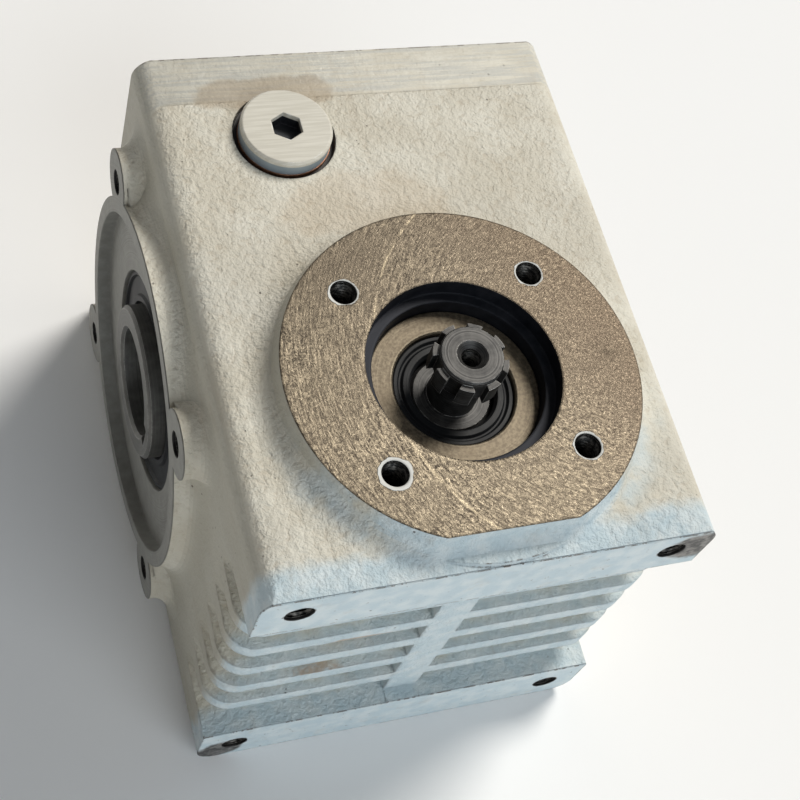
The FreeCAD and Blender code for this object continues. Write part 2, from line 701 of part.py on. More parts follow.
half_width = size("rim_half_width")
blank = Part.makeCylinder(outer_radius, 2 * half_width, FreeCAD.Vector(-half_width, 0, 0), X_WAY)
blank = blank.cut(Part.makeCylinder(size("rim_inner_radius"), 2 * half_width + 2,
                                    FreeCAD.Vector(-half_width - 1, 0, 0), X_WAY))
throat = Part.makeTorus(size("centre_distance"), worm_radius - module + size("mesh_tip_gap"), ORIGIN, X_WAY)
blank = blank.cut(throat)
pin_length = size("rim_pin_length")
pin_holes = []
pins = []
for i in range(int(size("rim_pin_count"))):
    angle = 2 * math.pi * i / size("rim_pin_count")
    place = (size("rim_inner_radius") * math.cos(angle), size("rim_inner_radius") * math.sin(angle))
    pin_holes.append(Part.makeCylinder(size("rim_pin_radius"), pin_length + 1,
                                       FreeCAD.Vector(-half_width - 1, place[0], place[1]), X_WAY))
    pins.append(Part.makeCylinder(size("rim_pin_radius") - size("slide_gap"), pin_length - size("rim_pin_end_gap"),
                                  FreeCAD.Vector(-half_width, place[0], place[1]), X_WAY))
# the gaps widen towards the rim's faces, to clear the thread where it leaves the mesh
spare = size("mesh_backlash")
end_spare = 2.4 * spare
gap_end = half_width + 0.5
gap = Part.makeLoft([gap_section(-gap_end, end_spare), gap_section(0, spare), gap_section(gap_end, end_spare)],
                    True, True)
gaps = []
for i in range(teeth):
    one = gap.copy()
    one.rotate(ORIGIN, X_WAY, 360.0 * i / teeth)
    gaps.append(one)
rim_shape = blank.cut(gaps + pin_holes)
scripted("wheel_rim", rim_shape)
scripted("rim_pins", Part.makeCompound(pins))

# worm shaft: two-start thread between two bearing journals, splined end for the motor coupling
worm = turned("worm_blank", [
    ("-worm_bearing_outer - rear_overhang", "0"),
    ("-worm_bearing_outer - rear_overhang", "worm_journal_radius - 1"),
    ("1 - worm_bearing_outer - rear_overhang", "worm_journal_radius"),
    ("-worm_bearing_inner", "worm_journal_radius"),
    ("-worm_bearing_inner", "worm_collar_radius"),
    ("worm_collar_width - worm_bearing_inner", "worm_collar_radius"),
    ("worm_collar_width - worm_bearing_inner", "worm_neck"),
    ("-worm_half_length - gear_module", "worm_neck"),
    ("-worm_half_length", "worm_tip_radius"),
    ("worm_half_length", "worm_tip_radius"),
    ("worm_half_length + gear_module", "worm_neck"),
    ("worm_bearing_inner - worm_collar_width", "worm_neck"),
    ("worm_bearing_inner - worm_collar_width", "worm_collar_radius"),
    ("worm_bearing_inner", "worm_collar_radius"),
    ("worm_bearing_inner", "worm_journal_radius"),
    ("seat_end - 1", "worm_journal_radius"),
    ("seat_end", "worm_journal_radius - 1"),
    ("seat_end", "shaft_neck_radius"),
    ("spline_start", "shaft_neck_radius"),
    ("spline_start", "spline_tip_radius"),
    ("spline_start + spline_length", "spline_tip_radius"),
    ("spline_start + spline_length", "spline_root_radius + 0.4"),
    ("shaft_end - 0.5", "spline_root_radius + 0.4"),
    ("shaft_end", "spline_root_radius"),
    ("shaft_end", "countersink_radius"),
    ("shaft_end - countersink_radius + centre_hole_radius", "centre_hole_radius"),
    ("shaft_end - centre_hole_depth", "centre_hole_radius"),
    ("shaft_end - centre_hole_depth - centre_hole_radius / 2", "0"),
], True)
slot = box(worm, "Subtractive", "spline_slot", ("spline_start - 1", "spline_start + spline_length + 0.01"),
           ("spline_root_radius", "spline_tip_radius + 1"), ("-spline_slot_width / 2", "spline_slot_width / 2"))
pattern(worm, slot, "X_Axis", "spline_teeth")
doc.recompute()

# thread groove: a straight-flanked section that reaches past the worm's crest, swept along the lead
# it starts half a pitch off the middle, so that a crest stands over the wheel's middle gap
run_out = axial_pitch
first = -(math.ceil((size("worm_half_length") + run_out) / axial_pitch) - 0.5) * axial_pitch
turn_height = -2 * first
slope = math.tan(pressure)
root_depth = size("worm_root_depth")
cutter_rise = module + 1
thread_root = worm_radius - root_depth
top_radius = worm_radius + cutter_rise
groove_half_root = axial_pitch / 4 - root_depth * slope
groove_half_top = axial_pitch / 4 + cutter_rise * slope
helix = Part.makeLongHelix(lead, turn_height, worm_radius)
groove_face = Part.makePolygon([
    FreeCAD.Vector(thread_root, 0, -groove_half_root),
    FreeCAD.Vector(top_radius, 0, -groove_half_top),
    FreeCAD.Vector(top_radius, 0, groove_half_top),
    FreeCAD.Vector(thread_root, 0, groove_half_root),
    FreeCAD.Vector(thread_root, 0, -groove_half_root),
])
cutter = Part.Wire(helix).makePipeShell([groove_face], True, True)
cutter.translate(FreeCAD.Vector(0, 0, first))
cutters = []
for i in range(int(size("worm_starts"))):
    one = cutter.copy()
    one.rotate(ORIGIN, FreeCAD.Vector(0, 0, 1), 90 + 360.0 * i / size("worm_starts"))
    one.translate(FreeCAD.Vector(0, -size("centre_distance"), 0))
    cutters.append(one)
scripted("worm_shaft", worm.Shape.cut(cutters))


def ball_bearing(name, bore, radius, inner, width, ball, count, place, on_worm):
    """Outer ring, inner ring, cage and balls of a deep-groove bearing."""
    middle = "%s * (%s + %s / 2)" % (place, inner, width)
    pitch = "(%s + %s) / 2" % (bore, radius)
    near = "%s - %s / 2" % (middle, width)
    far = "%s + %s / 2" % (middle, width)
    outer_land = "%s + %s * 0.62" % (pitch, ball)
    inner_land = "%s - %s * 0.62" % (pitch, ball)
    rings = []
    for kind, first_r, second_r in (("outer", outer_land, radius), ("inner", bore, inner_land)):
        ring = turned(name + "_" + kind + "_ring", [(near, first_r), (far, first_r), (far, second_r), (near, second_r)],
                      on_worm)
        primitive(ring, "SubtractiveTorus", name + "_" + kind + "_track",
                  {"Radius1": pitch, "Radius2": ball + " + running_gap"}, (middle, "0", "0"), "x")
        rings.append(ring)
    cage = turned(name + "_cage", [
        ("%s - %s * 1.15" % (middle, ball), "%s - %s * 0.3" % (pitch, ball)),
        ("%s + %s * 1.15" % (middle, ball), "%s - %s * 0.3" % (pitch, ball)),
        ("%s + %s * 1.15" % (middle, ball), "%s + %s * 0.3" % (pitch, ball)),
        ("%s - %s * 1.15" % (middle, ball), "%s + %s * 0.3" % (pitch, ball)),
    ], on_worm)
    pocket = primitive(cage, "SubtractiveSphere", name + "_pocket", {"Radius": ball + " + running_gap"},
                       (middle, pitch, "0"))
    pattern(cage, pocket, "X_Axis", count)
    number = int(size(count))
    centre_x = float(place) * (size(inner) + size(width) / 2)
    ring_radius = (size(bore) + size(radius)) / 2
    spheres = []
    for i in range(number):
        angle = 2 * math.pi * i / number
        spheres.append(Part.makeSphere(size(ball), FreeCAD.Vector(
            centre_x, ring_radius * math.cos(angle), ring_radius * math.sin(angle))))
    stand = None
    if on_worm:
        stand = FreeCAD.Placement(FreeCAD.Vector(0, -size("centre_distance"), 0),
                                  FreeCAD.Rotation(FreeCAD.Vector(0, 1, 0), -90))
    scripted(name + "_balls", Part.makeCompound(spheres), stand)


for name, place in (("left_bearing", "-1"), ("right_bearing", "1")):
    ball_bearing(name, "journal_radius", "output_bearing_radius", "output_bearing_inner", "output_bearing_width",
                 "output_ball_radius", "output_ball_count", place, False)
for name, place in (("rear_bearing", "-1"), ("front_bearing", "1")):
    ball_bearing(name, "worm_journal_radius", "worm_bearing_radius", "worm_bearing_inner", "worm_bearing_width",
                 "worm_ball_radius", "worm_ball_count", place, True)


def lip_seal(name, way, outer_face, width, radius, shaft, on_worm):
    """A radial shaft seal: case against the bore, lip on the shaft, open side inwards."""
    def at(depth):
        return "%s * (%s - (%s))" % (way, outer_face, depth)
    lip = shaft + " + running_gap"
    return turned(name, [
        (at("0"), radius + " - seal_chamfer"),
        (at("seal_chamfer"), radius),
        (at(width), radius),
        (at(width), radius + " - seal_rim_wall"),
        (at("seal_web"), radius + " - seal_case_wall"),
        (at("seal_web"), lip + " + seal_lip_root"),
        (at(width + " - 1"), lip + " + 2.4"),
        (at(width + " - 1"), lip + " + 0.8"),
        (at(width + " - 2.4"), lip),
        (at("2.6"), lip + " + 1"),
        (at("1.4"), lip + " + 0.1"),
        (at("0"), lip + " + 0.9"),
        (at("0"), lip + " + 2.6"),
        (at("dust_lip_depth"), lip + " + seal_lip_root"),
        (at("dust_lip_depth"), radius + " - seal_case_wall"),
        (at("0"), radius + " - seal_rim_wall"),
    ], on_worm)


lip_seal("left_seal", "-1", "seal_outer", "output_seal_width", "output_seal_radius", "journal_radius", False)
lip_seal("right_seal", "1", "seal_outer", "output_seal_width", "output_seal_radius", "journal_radius", False)
lip_seal("input_seal", "1", "input_seal_outer", "input_seal_width", "input_seal_radius", "worm_journal_radius", True)

turned("seal_carrier", [
    ("worm_bearing_outer + slide_gap", "carrier_lip_radius"),
    ("input_seal_inner", "carrier_lip_radius"),
    ("input_seal_inner", "input_seal_radius"),
    ("carrier_face - carrier_chamfer", "input_seal_radius"),
    ("carrier_face", "input_seal_radius + carrier_chamfer"),
    ("carrier_face", "worm_bearing_radius - slide_gap - carrier_chamfer"),
    ("carrier_face - carrier_chamfer", "worm_bearing_radius - slide_gap"),
    ("worm_bearing_outer + carrier_foot_width", "worm_bearing_radius - slide_gap"),
    ("worm_bearing_outer + carrier_foot_width", "worm_bearing_radius - 3.2"),
    ("worm_bearing_outer + slide_gap", "worm_bearing_radius - 3.2"),
], True)

# rear circlip with its gap and lugs, and the pressed end cap
clip = turned("rear_circlip", [
    ("-worm_bearing_outer - circlip_width", "worm_bearing_radius - 2.4"),
    ("-worm_bearing_outer - circlip_width", "worm_bearing_radius + circlip_depth - 0.2"),
    ("-worm_bearing_outer - slide_gap", "worm_bearing_radius + circlip_depth - 0.2"),
    ("-worm_bearing_outer - slide_gap", "worm_bearing_radius - 2.4"),
], True)
box(clip, "Subtractive", "clip_gap", ("-worm_bearing_outer - circlip_width - 1", "1 - worm_bearing_outer"),
    ("0", "worm_bearing_radius + 3"), ("-4", "4"))

turned("end_cap", [
    ("end_cap_setback - front", "0"),
    ("end_cap_setback - front", "worm_bearing_radius - 1.5"),
    ("end_cap_setback + 1 - front", "worm_bearing_radius - slide_gap"),
    ("end_cap_setback + end_cap_width - front", "worm_bearing_radius - slide_gap"),
    ("end_cap_setback + end_cap_width - front", "worm_bearing_radius - end_cap_skin"),
    ("end_cap_setback + end_cap_skin - front", "worm_bearing_radius - end_cap_skin - 0.5"),
    ("end_cap_setback + end_cap_skin - front", "0"),
], True)

# oil plug with its sealing washer
plug = turned("oil_plug", [
    ("plug_under - plug_length", "0"),
    ("plug_under - plug_length", "plug_thread_radius - 1"),
    ("plug_under - plug_length + 1", "plug_thread_radius - slide_gap"),
    ("plug_under", "plug_thread_radius - slide_gap"),
    ("plug_under", "plug_head_radius"),
    ("plug_under + plug_head_height - 0.7", "plug_head_radius"),
    ("plug_under + plug_head_height", "plug_head_radius - 0.7"),
    ("plug_under + plug_head_height", "0"),
])
socket_half = "plug_socket_across / 2"
socket_corner = "plug_socket_across / 2 / cos(30 deg)"
socket_outline = outline(plug, "YZ_Plane", "plug_socket_outline", [
    (socket_corner, "0"),
    (socket_corner + " / 2", socket_half),
    ("-" + socket_corner + " / 2", socket_half),
    ("-" + socket_corner, "0"),
    ("-" + socket_corner + " / 2", "-" + socket_half),
    (socket_corner + " / 2", "-" + socket_half),
], offset="plug_under + plug_head_height")
plug_socket = plug.newObject("PartDesign::Pocket", "plug_socket")
plug_socket.Profile = socket_outline
bind(plug_socket, "Length", "plug_socket_depth")
along_z(plug, "plug_x", "plug_y", "0")

washer = turned("plug_washer", [
    ("plug_seat", "plug_thread_radius + 0.1"),
    ("plug_seat", "plug_head_radius + 0.2"),
    ("plug_under", "plug_head_radius + 0.2"),
    ("plug_under", "plug_thread_radius + 0.1"),
])
along_z(washer, "plug_x", "plug_y", "0")

doc.recompute()
PARTS = [
    "housing", "side_cover", "cover_gasket", "cover_screws", "output_hub", "wheel_rim", "rim_pins", "worm_shaft",
    "left_seal", "right_seal", "input_seal", "seal_carrier", "rear_circlip", "end_cap", "oil_plug", "plug_washer",
]
for name in ("left_bearing", "right_bearing", "rear_bearing", "front_bearing"):
    PARTS += [name + "_outer_ring", name + "_inner_ring", name + "_cage", name + "_balls"]

for item in doc.Objects:
    if "Invalid" in item.State or "Error" in item.State:
        raise ValueError("failed: %s %s" % (item.Label, item.State))
shapes = {}
for label in PARTS:
    shape = doc.getObjectsByLabel(label)[0].Shape
    if shape.isNull() or not shape.isValid() or shape.Volume < 1:
        raise ValueError("bad shape: " + label)
    shapes[label] = shape

os.makedirs("parts", exist_ok=True)
for label, shape in shapes.items():
    shape.exportStep("parts/%s.step" % label)
    print(label, len(shape.Solids), round(shape.Volume, 1))
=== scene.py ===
"""
Looks of a cast worm gearbox: the finishes of its pieces, its cast fillets, low side cover and screw threads,
and a plain studio. All lengths are in metres, in the part's own frame: X is the output axis, the worm's axis
is parallel to Z, and the foot rails face -Y.
"""

import math
from collections import namedtuple

import bmesh
import bpy
from mathutils import Matrix, Vector


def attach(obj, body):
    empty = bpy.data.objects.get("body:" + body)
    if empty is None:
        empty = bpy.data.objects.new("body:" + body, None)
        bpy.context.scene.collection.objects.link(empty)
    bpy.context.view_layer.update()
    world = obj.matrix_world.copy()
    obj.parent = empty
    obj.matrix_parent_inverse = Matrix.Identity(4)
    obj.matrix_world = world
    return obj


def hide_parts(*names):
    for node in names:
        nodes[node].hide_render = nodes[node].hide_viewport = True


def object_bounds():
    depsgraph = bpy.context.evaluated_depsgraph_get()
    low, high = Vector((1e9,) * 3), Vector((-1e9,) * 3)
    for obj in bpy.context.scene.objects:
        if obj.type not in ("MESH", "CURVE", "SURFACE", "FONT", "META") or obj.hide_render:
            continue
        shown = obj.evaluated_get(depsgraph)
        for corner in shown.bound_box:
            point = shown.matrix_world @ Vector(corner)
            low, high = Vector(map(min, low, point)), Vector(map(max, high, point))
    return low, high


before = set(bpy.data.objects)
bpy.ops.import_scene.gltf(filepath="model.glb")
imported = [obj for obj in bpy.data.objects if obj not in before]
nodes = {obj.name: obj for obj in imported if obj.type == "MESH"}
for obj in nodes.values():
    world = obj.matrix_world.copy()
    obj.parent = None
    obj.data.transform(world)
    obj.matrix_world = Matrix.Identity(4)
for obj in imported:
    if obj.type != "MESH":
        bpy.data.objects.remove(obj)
cad_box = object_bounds()

MM = 0.001

# the casting's faces and fins, along X, Y or Z
SIDE_FACE = 71 * MM
RIGHT_FACE = 66 * MM
TOP_FACE = 73 * MM
TOP_BAND = 55 * MM
FRONT_FACE = 71 * MM
FOOT_FACE = -107 * MM
FIN_TIP = -102 * MM
RAIL_INNER = 46.5 * MM
BRIDGE = (-8.5 * MM, 3.5 * MM)
BEVEL_START = -99 * MM
BEVEL_SLOPE = 0.25
CORNER_RADIUS = 8 * MM
FIN_RUST = ((-29.5 * MM, 12.5 * MM), (-37.5 * MM, -11.5 * MM))

# the worm shaft and the motor flange
WORM_Y = -50 * MM
SHAFT_END = 87 * MM
FLANGE_FACE = 79 * MM
FLANGE_RADIUS = 53.5 * MM
FLANGE_DRAFT = 2.5 * MM
FLANGE_FLAT = 49.8 * MM
FLANGE_HOLE_STEP = 41 * MM * math.cos(math.radians(45))
PILOT_RADIUS = 29.2 * MM

# the output pads
PAD_FACE = 79 * MM
PAD_RADIUS = 60 * MM
PAD_HOLE_STEP = 46 * MM
RECESS_RADIUS = 55 * MM
LOBE_RADIUS = 10.5 * MM
LOBE_PLACE = PAD_HOLE_STEP * math.sqrt(2)

# the tapped holes and the oil plug
HOLE_RADIUS = 4 * MM
HOLE_PITCH = 1.25 * MM
FOOT_MIDDLE_X = -2.5 * MM
FOOT_HOLE_X = 56.5 * MM
FOOT_HOLE_Z = 59 * MM
FOOT_HOLE_RADIUS = 4.3 * MM
PLUG = (-30.5 * MM, 41 * MM)
PLUG_SEAT_RADIUS = 16 * MM
PLUG_SOCKET_RADIUS = 5.2 * MM

# the low side cover on the right face
COVER_BACK = 66.5 * MM
COVER_RIM_FACE = 67.9 * MM
COVER_EDGE = 60.5 * MM
COVER_EAR = 5.2 * MM
COVER_SCREW_PLACE = 61.2 * MM
COVER_SCREW_TURNS = [math.radians(22.5 + 45 * k) for k in range(8)]

# how finely the round pieces are divided, and how near to each other vertices are welded
COVER_STEPS = 288
FILLET_STEPS = 240
FILLET_ROWS = 9
SCREW_STEPS = 36
CUTTER_STEPS = 48
THREAD_STEPS = 36
THREAD_ROWS = 8
WELD_GAP = 0.002 * MM

Y_WAY = Vector((0, 1, 0))
Z_WAY = Vector((0, 0, 1))
CORNERS = [(a, b) for a in (-1, 1) for b in (-1, 1)]

# colours, as linear light
BEIGE = (0.600, 0.560, 0.465)
BEIGE_LIGHT = (0.680, 0.650, 0.560)
BLUE = (0.490, 0.585, 0.625)
BLUE_LIGHT = (0.610, 0.675, 0.690)
# painted shade, laid on the faces turned towards -X
LEFT_SIDE_PAINTED_SHADE = (0.400, 0.385, 0.320)
GREY_PAINT = (0.530, 0.520, 0.470)
LIP_PAINT = (0.660, 0.660, 0.630)
STAIN = (0.360, 0.270, 0.170)
PALE_STAIN = (0.620, 0.500, 0.360)
RUST = (0.420, 0.250, 0.120)
CHIP = (0.080, 0.055, 0.045)
CHIP_EDGE = (0.170, 0.130, 0.100)
OXIDE_DARK = (0.034, 0.027, 0.020)
OXIDE_MID = (0.108, 0.088, 0.064)
OXIDE_LIGHT = (0.225, 0.187, 0.136)
FLANGE_PAINTED_SHADE = (0.085, 0.060, 0.040)
FLANGE_PAINTED_GLINT = (0.440, 0.370, 0.265)
CUT_MARK = (0.620, 0.520, 0.360)
IRON_DARK = (0.060, 0.058, 0.056)
IRON_LIGHT = (0.260, 0.250, 0.235)
PAD_DARK = (0.235, 0.232, 0.212)
PAD_LIGHT = (0.345, 0.340, 0.312)
HOLE_DARK = (0.010, 0.010, 0.011)
HOLE_LIGHT = (0.050, 0.047, 0.044)
BORE_SHADE_DEEP = (0.008, 0.010, 0.015)
BORE_SHADE_PALE = (0.030, 0.032, 0.040)
CARRIER_DARK = (0.112, 0.090, 0.063)
CARRIER_LIGHT = (0.245, 0.204, 0.145)
CARRIER_PATCH = (0.150, 0.118, 0.080)
CARRIER_EDGE = (0.500, 0.440, 0.330)
RUBBER = (0.007, 0.008, 0.009)
RUBBER_LIGHT = (0.014, 0.015, 0.017)
DUST = (0.090, 0.085, 0.075)
PLUG_DARK = (0.560, 0.530, 0.450)
PLUG_LIGHT = (0.665, 0.635, 0.555)
PLUG_SIDE_SHADE_DEEP = (0.200, 0.245, 0.275)
PLUG_SIDE_SHADE_PALE = (0.330, 0.380, 0.410)
PLUG_EDGE = (0.800, 0.800, 0.760)
SOCKET_DARK = (0.018, 0.020, 0.024)
SOCKET_LIGHT = (0.075, 0.080, 0.090)
CREST = (0.420, 0.400, 0.370)

Finish = namedtuple("Finish", "colour metal rough height")


class Graph:
    """A material's node tree, with short calls for the nodes that the finishes use."""

    def __init__(self, name):
        self.material = bpy.data.materials.new(name)
        self.material.use_nodes = True
        self.tree = self.material.node_tree
        self.tree.nodes.clear()
        self.output = self.add("ShaderNodeOutputMaterial")
        self.shader = self.add("ShaderNodeBsdfPrincipled")
        self.tree.links.new(self.shader.outputs[0], self.output.inputs["Surface"])
        self.place = self.add("ShaderNodeTexCoord").outputs["Object"]
        split = self.add("ShaderNodeSeparateXYZ")
        self.tree.links.new(self.place, split.inputs[0])
        self.x, self.y, self.z = split.outputs

    def add(self, kind):
        return self.tree.nodes.new(kind)

    def put(self, socket, value):
        if isinstance(value, bpy.types.NodeSocket):
            self.tree.links.new(value, socket)
        elif hasattr(value, "__len__") and len(value) == 3 and socket.type == "RGBA":
            socket.default_value = (*value, 1)
        else:
            socket.default_value = value

    def math(self, operation, a, b=0.0):
        node = self.add("ShaderNodeMath")
        node.operation = operation
        for socket, value in zip(node.inputs, (a, b)):
            self.put(socket, value)
        return node.outputs[0]

    def plus(self, a, b):
        return self.math("ADD", a, b)

    def minus(self, a, b):
        return self.math("SUBTRACT", a, b)

    def times(self, a, b):
        return self.math("MULTIPLY", a, b)

    def both(self, *masks):
        result = masks[0]
        for mask in masks[1:]:
            result = self.times(result, mask)
        return result

    def either(self, *masks):
        result = masks[0]
        for mask in masks[1:]:
            result = self.math("MAXIMUM", result, mask)
        return result

    def invert(self, mask):
        return self.minus(1.0, mask)

    def step(self, value, low, high):
        """0 at low and 1 at high, smooth between them. Low may be the larger."""
        node = self.add("ShaderNodeMapRange")
        node.interpolation_type = "SMOOTHSTEP"
        self.put(node.inputs["Value"], value)
        if low < high:
            limits = (low, high, 0.0, 1.0)
        else:
            limits = (high, low, 1.0, 0.0)
        for key, limit in zip(("From Min", "From Max", "To Min", "To Max"), limits):
            node.inputs[key].default_value = limit
        return node.outputs["Result"]

    def length(self, a, b):
        return self.math("SQRT", self.plus(self.times(a, a), self.times(b, b)))

    def radius(self, a, a0, b, b0):
        """Distance from the axis at a0, b0."""
        return self.length(self.minus(a, a0), self.minus(b, b0))

    def away(self, across):
        """Distance from the output axis where across is "x", and from the worm's where it is "z"."""
        if across == "x":
            return self.length(self.y, self.z)
        return self.radius(self.x, 0.0, self.y, WORM_Y)

    def near(self, value, edge, inner=0.04 * MM, outer=0.12 * MM):
        """1 up to an edge, and 0 just past it."""
        return self.step(value, edge + outer, edge + inner)

    def past(self, value, low):
        """0 up to a place, and 1 from a millimetre beyond it."""
        return self.step(value, low, low + 1 * MM)

    def vector(self, a, b, c):
        node = self.add("ShaderNodeCombineXYZ")
        for socket, value in zip(node.inputs, (a, b, c)):
            self.put(socket, value)
        return node.outputs[0]

    def stretched(self, sx, sy, sz):
        return self.vector(self.times(self.x, sx), self.times(self.y, sy), self.times(self.z, sz))

    def noise(self, scale, detail=3.0, rough=0.5, bend=0.0, vector=None):
        """Smooth noise, with its scale in waves per metre."""
        node = self.add("ShaderNodeTexNoise")
        self.put(node.inputs["Vector"], vector or self.place)
        for key, value in (("Scale", scale), ("Detail", detail), ("Roughness", rough), ("Distortion", bend)):
            node.inputs[key].default_value = value
        return node.outputs["Fac"]

    def cells(self, scale):
        """Distance from the nearest of many scattered points."""
        node = self.add("ShaderNodeTexVoronoi")
        self.put(node.inputs["Vector"], self.place)
        node.inputs["Scale"].default_value = scale
        return node.outputs["Distance"]

    def blend(self, mask, a, b):
        node = self.add("ShaderNodeMix")
        node.data_type = "RGBA"
        self.put(node.inputs[0], mask)
        self.put(node.inputs[6], a)
        self.put(node.inputs[7], b)
        return node.outputs[2]

    def fade(self, mask, a, b):
        node = self.add("ShaderNodeMix")
        node.data_type = "FLOAT"
        self.put(node.inputs[0], mask)
        self.put(node.inputs[2], a)
        self.put(node.inputs[3], b)
        return node.outputs[0]

    def over(self, mask, below, above):
        """One finish laid over another where the mask is 1."""
        return Finish(
            self.blend(mask, below.colour, above.colour),
            self.fade(mask, below.metal, above.metal),
            self.fade(mask, below.rough, above.rough),
            self.fade(mask, below.height, above.height),
        )

    def edges(self, radius):
        """The normal with edges rounded to a radius, and how much it differs from the true one."""
        bevel = self.add("ShaderNodeBevel")
        bevel.samples = 6
        self.put(bevel.inputs["Radius"], radius)
        rounded = bevel.outputs["Normal"]
        geometry = self.add("ShaderNodeNewGeometry")
        dot = self.add("ShaderNodeVectorMath")
        dot.operation = "DOT_PRODUCT"
        self.put(dot.inputs[0], rounded)
        self.put(dot.inputs[1], geometry.outputs["Normal"])
        return rounded, self.step(dot.outputs["Value"], 0.995, 0.90)

    def normal_axis(self, axis):
        """How far the surface faces along an axis of the part, from -1 to 1."""
        geometry = self.add("ShaderNodeNewGeometry")
        split = self.add("ShaderNodeSeparateXYZ")
        self.put(split.inputs[0], geometry.outputs["True Normal"])
        return split.outputs[axis]

    def finish(self, finish, relief, normal, specular=0.5):
        """Send a finish to the shader, with its height as relief in metres, and return the material."""
        bump = self.add("ShaderNodeBump")
        bump.inputs["Strength"].default_value = 1.0
        bump.inputs["Distance"].default_value = relief
        self.put(bump.inputs["Height"], finish.height)
        self.put(bump.inputs["Normal"], normal)
        for key, value in (("Base Color", finish.colour), ("Metallic", finish.metal),
                           ("Roughness", finish.rough), ("Normal", bump.outputs["Normal"])):
            self.put(self.shader.inputs[key], value)
        self.shader.inputs["Specular IOR Level"].default_value = specular
        return self.material


def cast_paint(g, smooth):
    """Thick machine paint over a sand casting, smoother where the mask is 1."""
    coarse = g.noise(470, 2.5, 0.55, 0.3)
    fine = g.noise(1300, 2.5, 0.6)
    swell = g.noise(60, 2, 0.5)
    grain = g.plus(g.times(coarse, 0.72), g.times(fine, 0.28))
    height = g.plus(g.times(grain, g.fade(smooth, 1.0, 0.14)), g.times(swell, 0.30))
    tone = g.blend(g.step(swell, 0.35, 0.68), BEIGE, BEIGE_LIGHT)
    tone = g.blend(g.times(g.step(g.noise(17, 3, 0.6), 0.45, 0.72), 0.35), tone, GREY_PAINT)
    hollow = g.times(g.step(coarse, 0.46, 0.30), g.fade(smooth, 0.22, 0.06))
    tone = g.blend(hollow, tone, STAIN)
    rough = g.fade(g.step(fine, 0.35, 0.65), 0.48, 0.66)
    return Finish(tone, 0.0, rough, height)


def turned_metal(g, distance, dark, light, lines, metal, rough):
    """Metal turned on a lathe: fine rings that follow a distance, with blotches of oxide."""
    rings = g.noise(1.0, 2, 0.6, vector=g.vector(g.times(distance, lines), 0.0, 0.0))
    blotch = g.noise(240, 4, 0.65)
    mottle = g.plus(g.times(rings, 0.55), g.times(blotch, 0.45))
    tone = g.blend(g.step(mottle, 0.36, 0.66), dark, light)
    return Finish(tone, metal, g.fade(blotch, rough, rough + 0.28), g.times(rings, 0.5))


def milled_flange(g):
    """Oxidised cast iron, fly-cut in long arcs, with a torn bright grain."""
    cut_centre = (45 * MM, WORM_Y)
    cut_radius = 70 * MM
    across = g.radius(g.x, cut_centre[0], g.y, cut_centre[1])
    turn = g.math("ARCTAN2", g.minus(g.y, cut_centre[1]), g.minus(g.x, cut_centre[0]))
    arcs = g.noise(1.0, 3, 0.6, vector=g.vector(g.times(across, 1500), g.times(turn, 14), 0.0))
    torn = g.noise(900, 4, 0.7, 1.2)
    grain = g.noise(2100, 3, 0.6)
    patch = g.noise(38, 3, 0.6)
    shine = g.plus(g.plus(g.times(grain, 0.30), g.times(torn, 0.42)), g.times(arcs, 0.28))
    tone = g.blend(g.step(shine, 0.40, 0.60), OXIDE_DARK, OXIDE_LIGHT)
    tone = g.blend(g.times(g.step(patch, 0.40, 0.60), 0.55), tone, OXIDE_MID)
    # painted shade: the flange face darkens towards the right
    painted_shade_right = g.step(g.plus(g.times(g.x, 0.9), g.times(g.minus(g.y, WORM_Y), 0.3)), 4 * MM, 52 * MM)
    tone = g.blend(g.times(painted_shade_right, 0.50), tone, FLANGE_PAINTED_SHADE)
    mark = g.both(g.step(g.math("ABSOLUTE", g.minus(across, cut_radius)), 0.55 * MM, 0.1 * MM),
                  g.step(g.noise(160, 2), 0.40, 0.55))
    tone = g.blend(g.times(mark, 0.35), tone, CUT_MARK)
    # painted glints: bright flecks of the grain towards the lower left of the flange
    wear_and_glints = g.step(g.plus(g.times(g.x, -0.55), g.times(g.minus(WORM_Y, g.y), 0.85)), -18 * MM, 34 * MM)
    tone = g.blend(g.times(wear_and_glints, g.times(g.step(shine, 0.46, 0.60), 0.50)), tone, FLANGE_PAINTED_GLINT)
    rough = g.fade(g.step(grain, 0.35, 0.65), 0.30, 0.58)
    return Finish(tone, 0.80, rough, g.times(shine, 0.20))


def wandering(g, value, reach, *noise):
    """A coordinate that wanders by a reach, for an edge that isn't straight."""
    return g.plus(value, g.times(g.minus(g.noise(*noise), 0.5), reach))


def spot(g, a, a0, half_a, b, b0, half_b, ragged=0.35, scale=220):
    """A ragged oval patch round a point, in the plane of two coordinates."""
    away = g.length(g.times(g.minus(a, a0), 1 / half_a), g.times(g.minus(b, b0), 1 / half_b))
    return g.step(wandering(g, away, 2 * ragged, scale, 4, 0.6), 1.05, 0.75)


def four_holes(g, a, middle_a, step_a, b, middle_b, step_b):
    """Distance from the nearest of four holes at the corners of a rectangle."""
    near_a = g.minus(g.math("ABSOLUTE", g.minus(a, middle_a)), step_a)
    near_b = g.minus(g.math("ABSOLUTE", g.minus(b, middle_b)), step_b)
    return g.length(near_a, near_b)


def pad_masks(g, side):
    """Where the output pad on one side (-1 left, 1 right) is machined."""
    out = g.times(g.x, side)
    from_axis = g.length(g.y, g.z)
    face = g.step(out, PAD_FACE - 0.35 * MM, PAD_FACE - 0.15 * MM)
    recess = g.both(g.step(from_axis, RECESS_RADIUS + 0.35 * MM, RECESS_RADIUS + 0.1 * MM),
                    g.past(out, PAD_FACE - 60 * MM))
    hole = four_holes(g, g.y, 0.0, PAD_HOLE_STEP, g.z, 0.0, PAD_HOLE_STEP)
    return from_axis, g.either(face, recess), hole


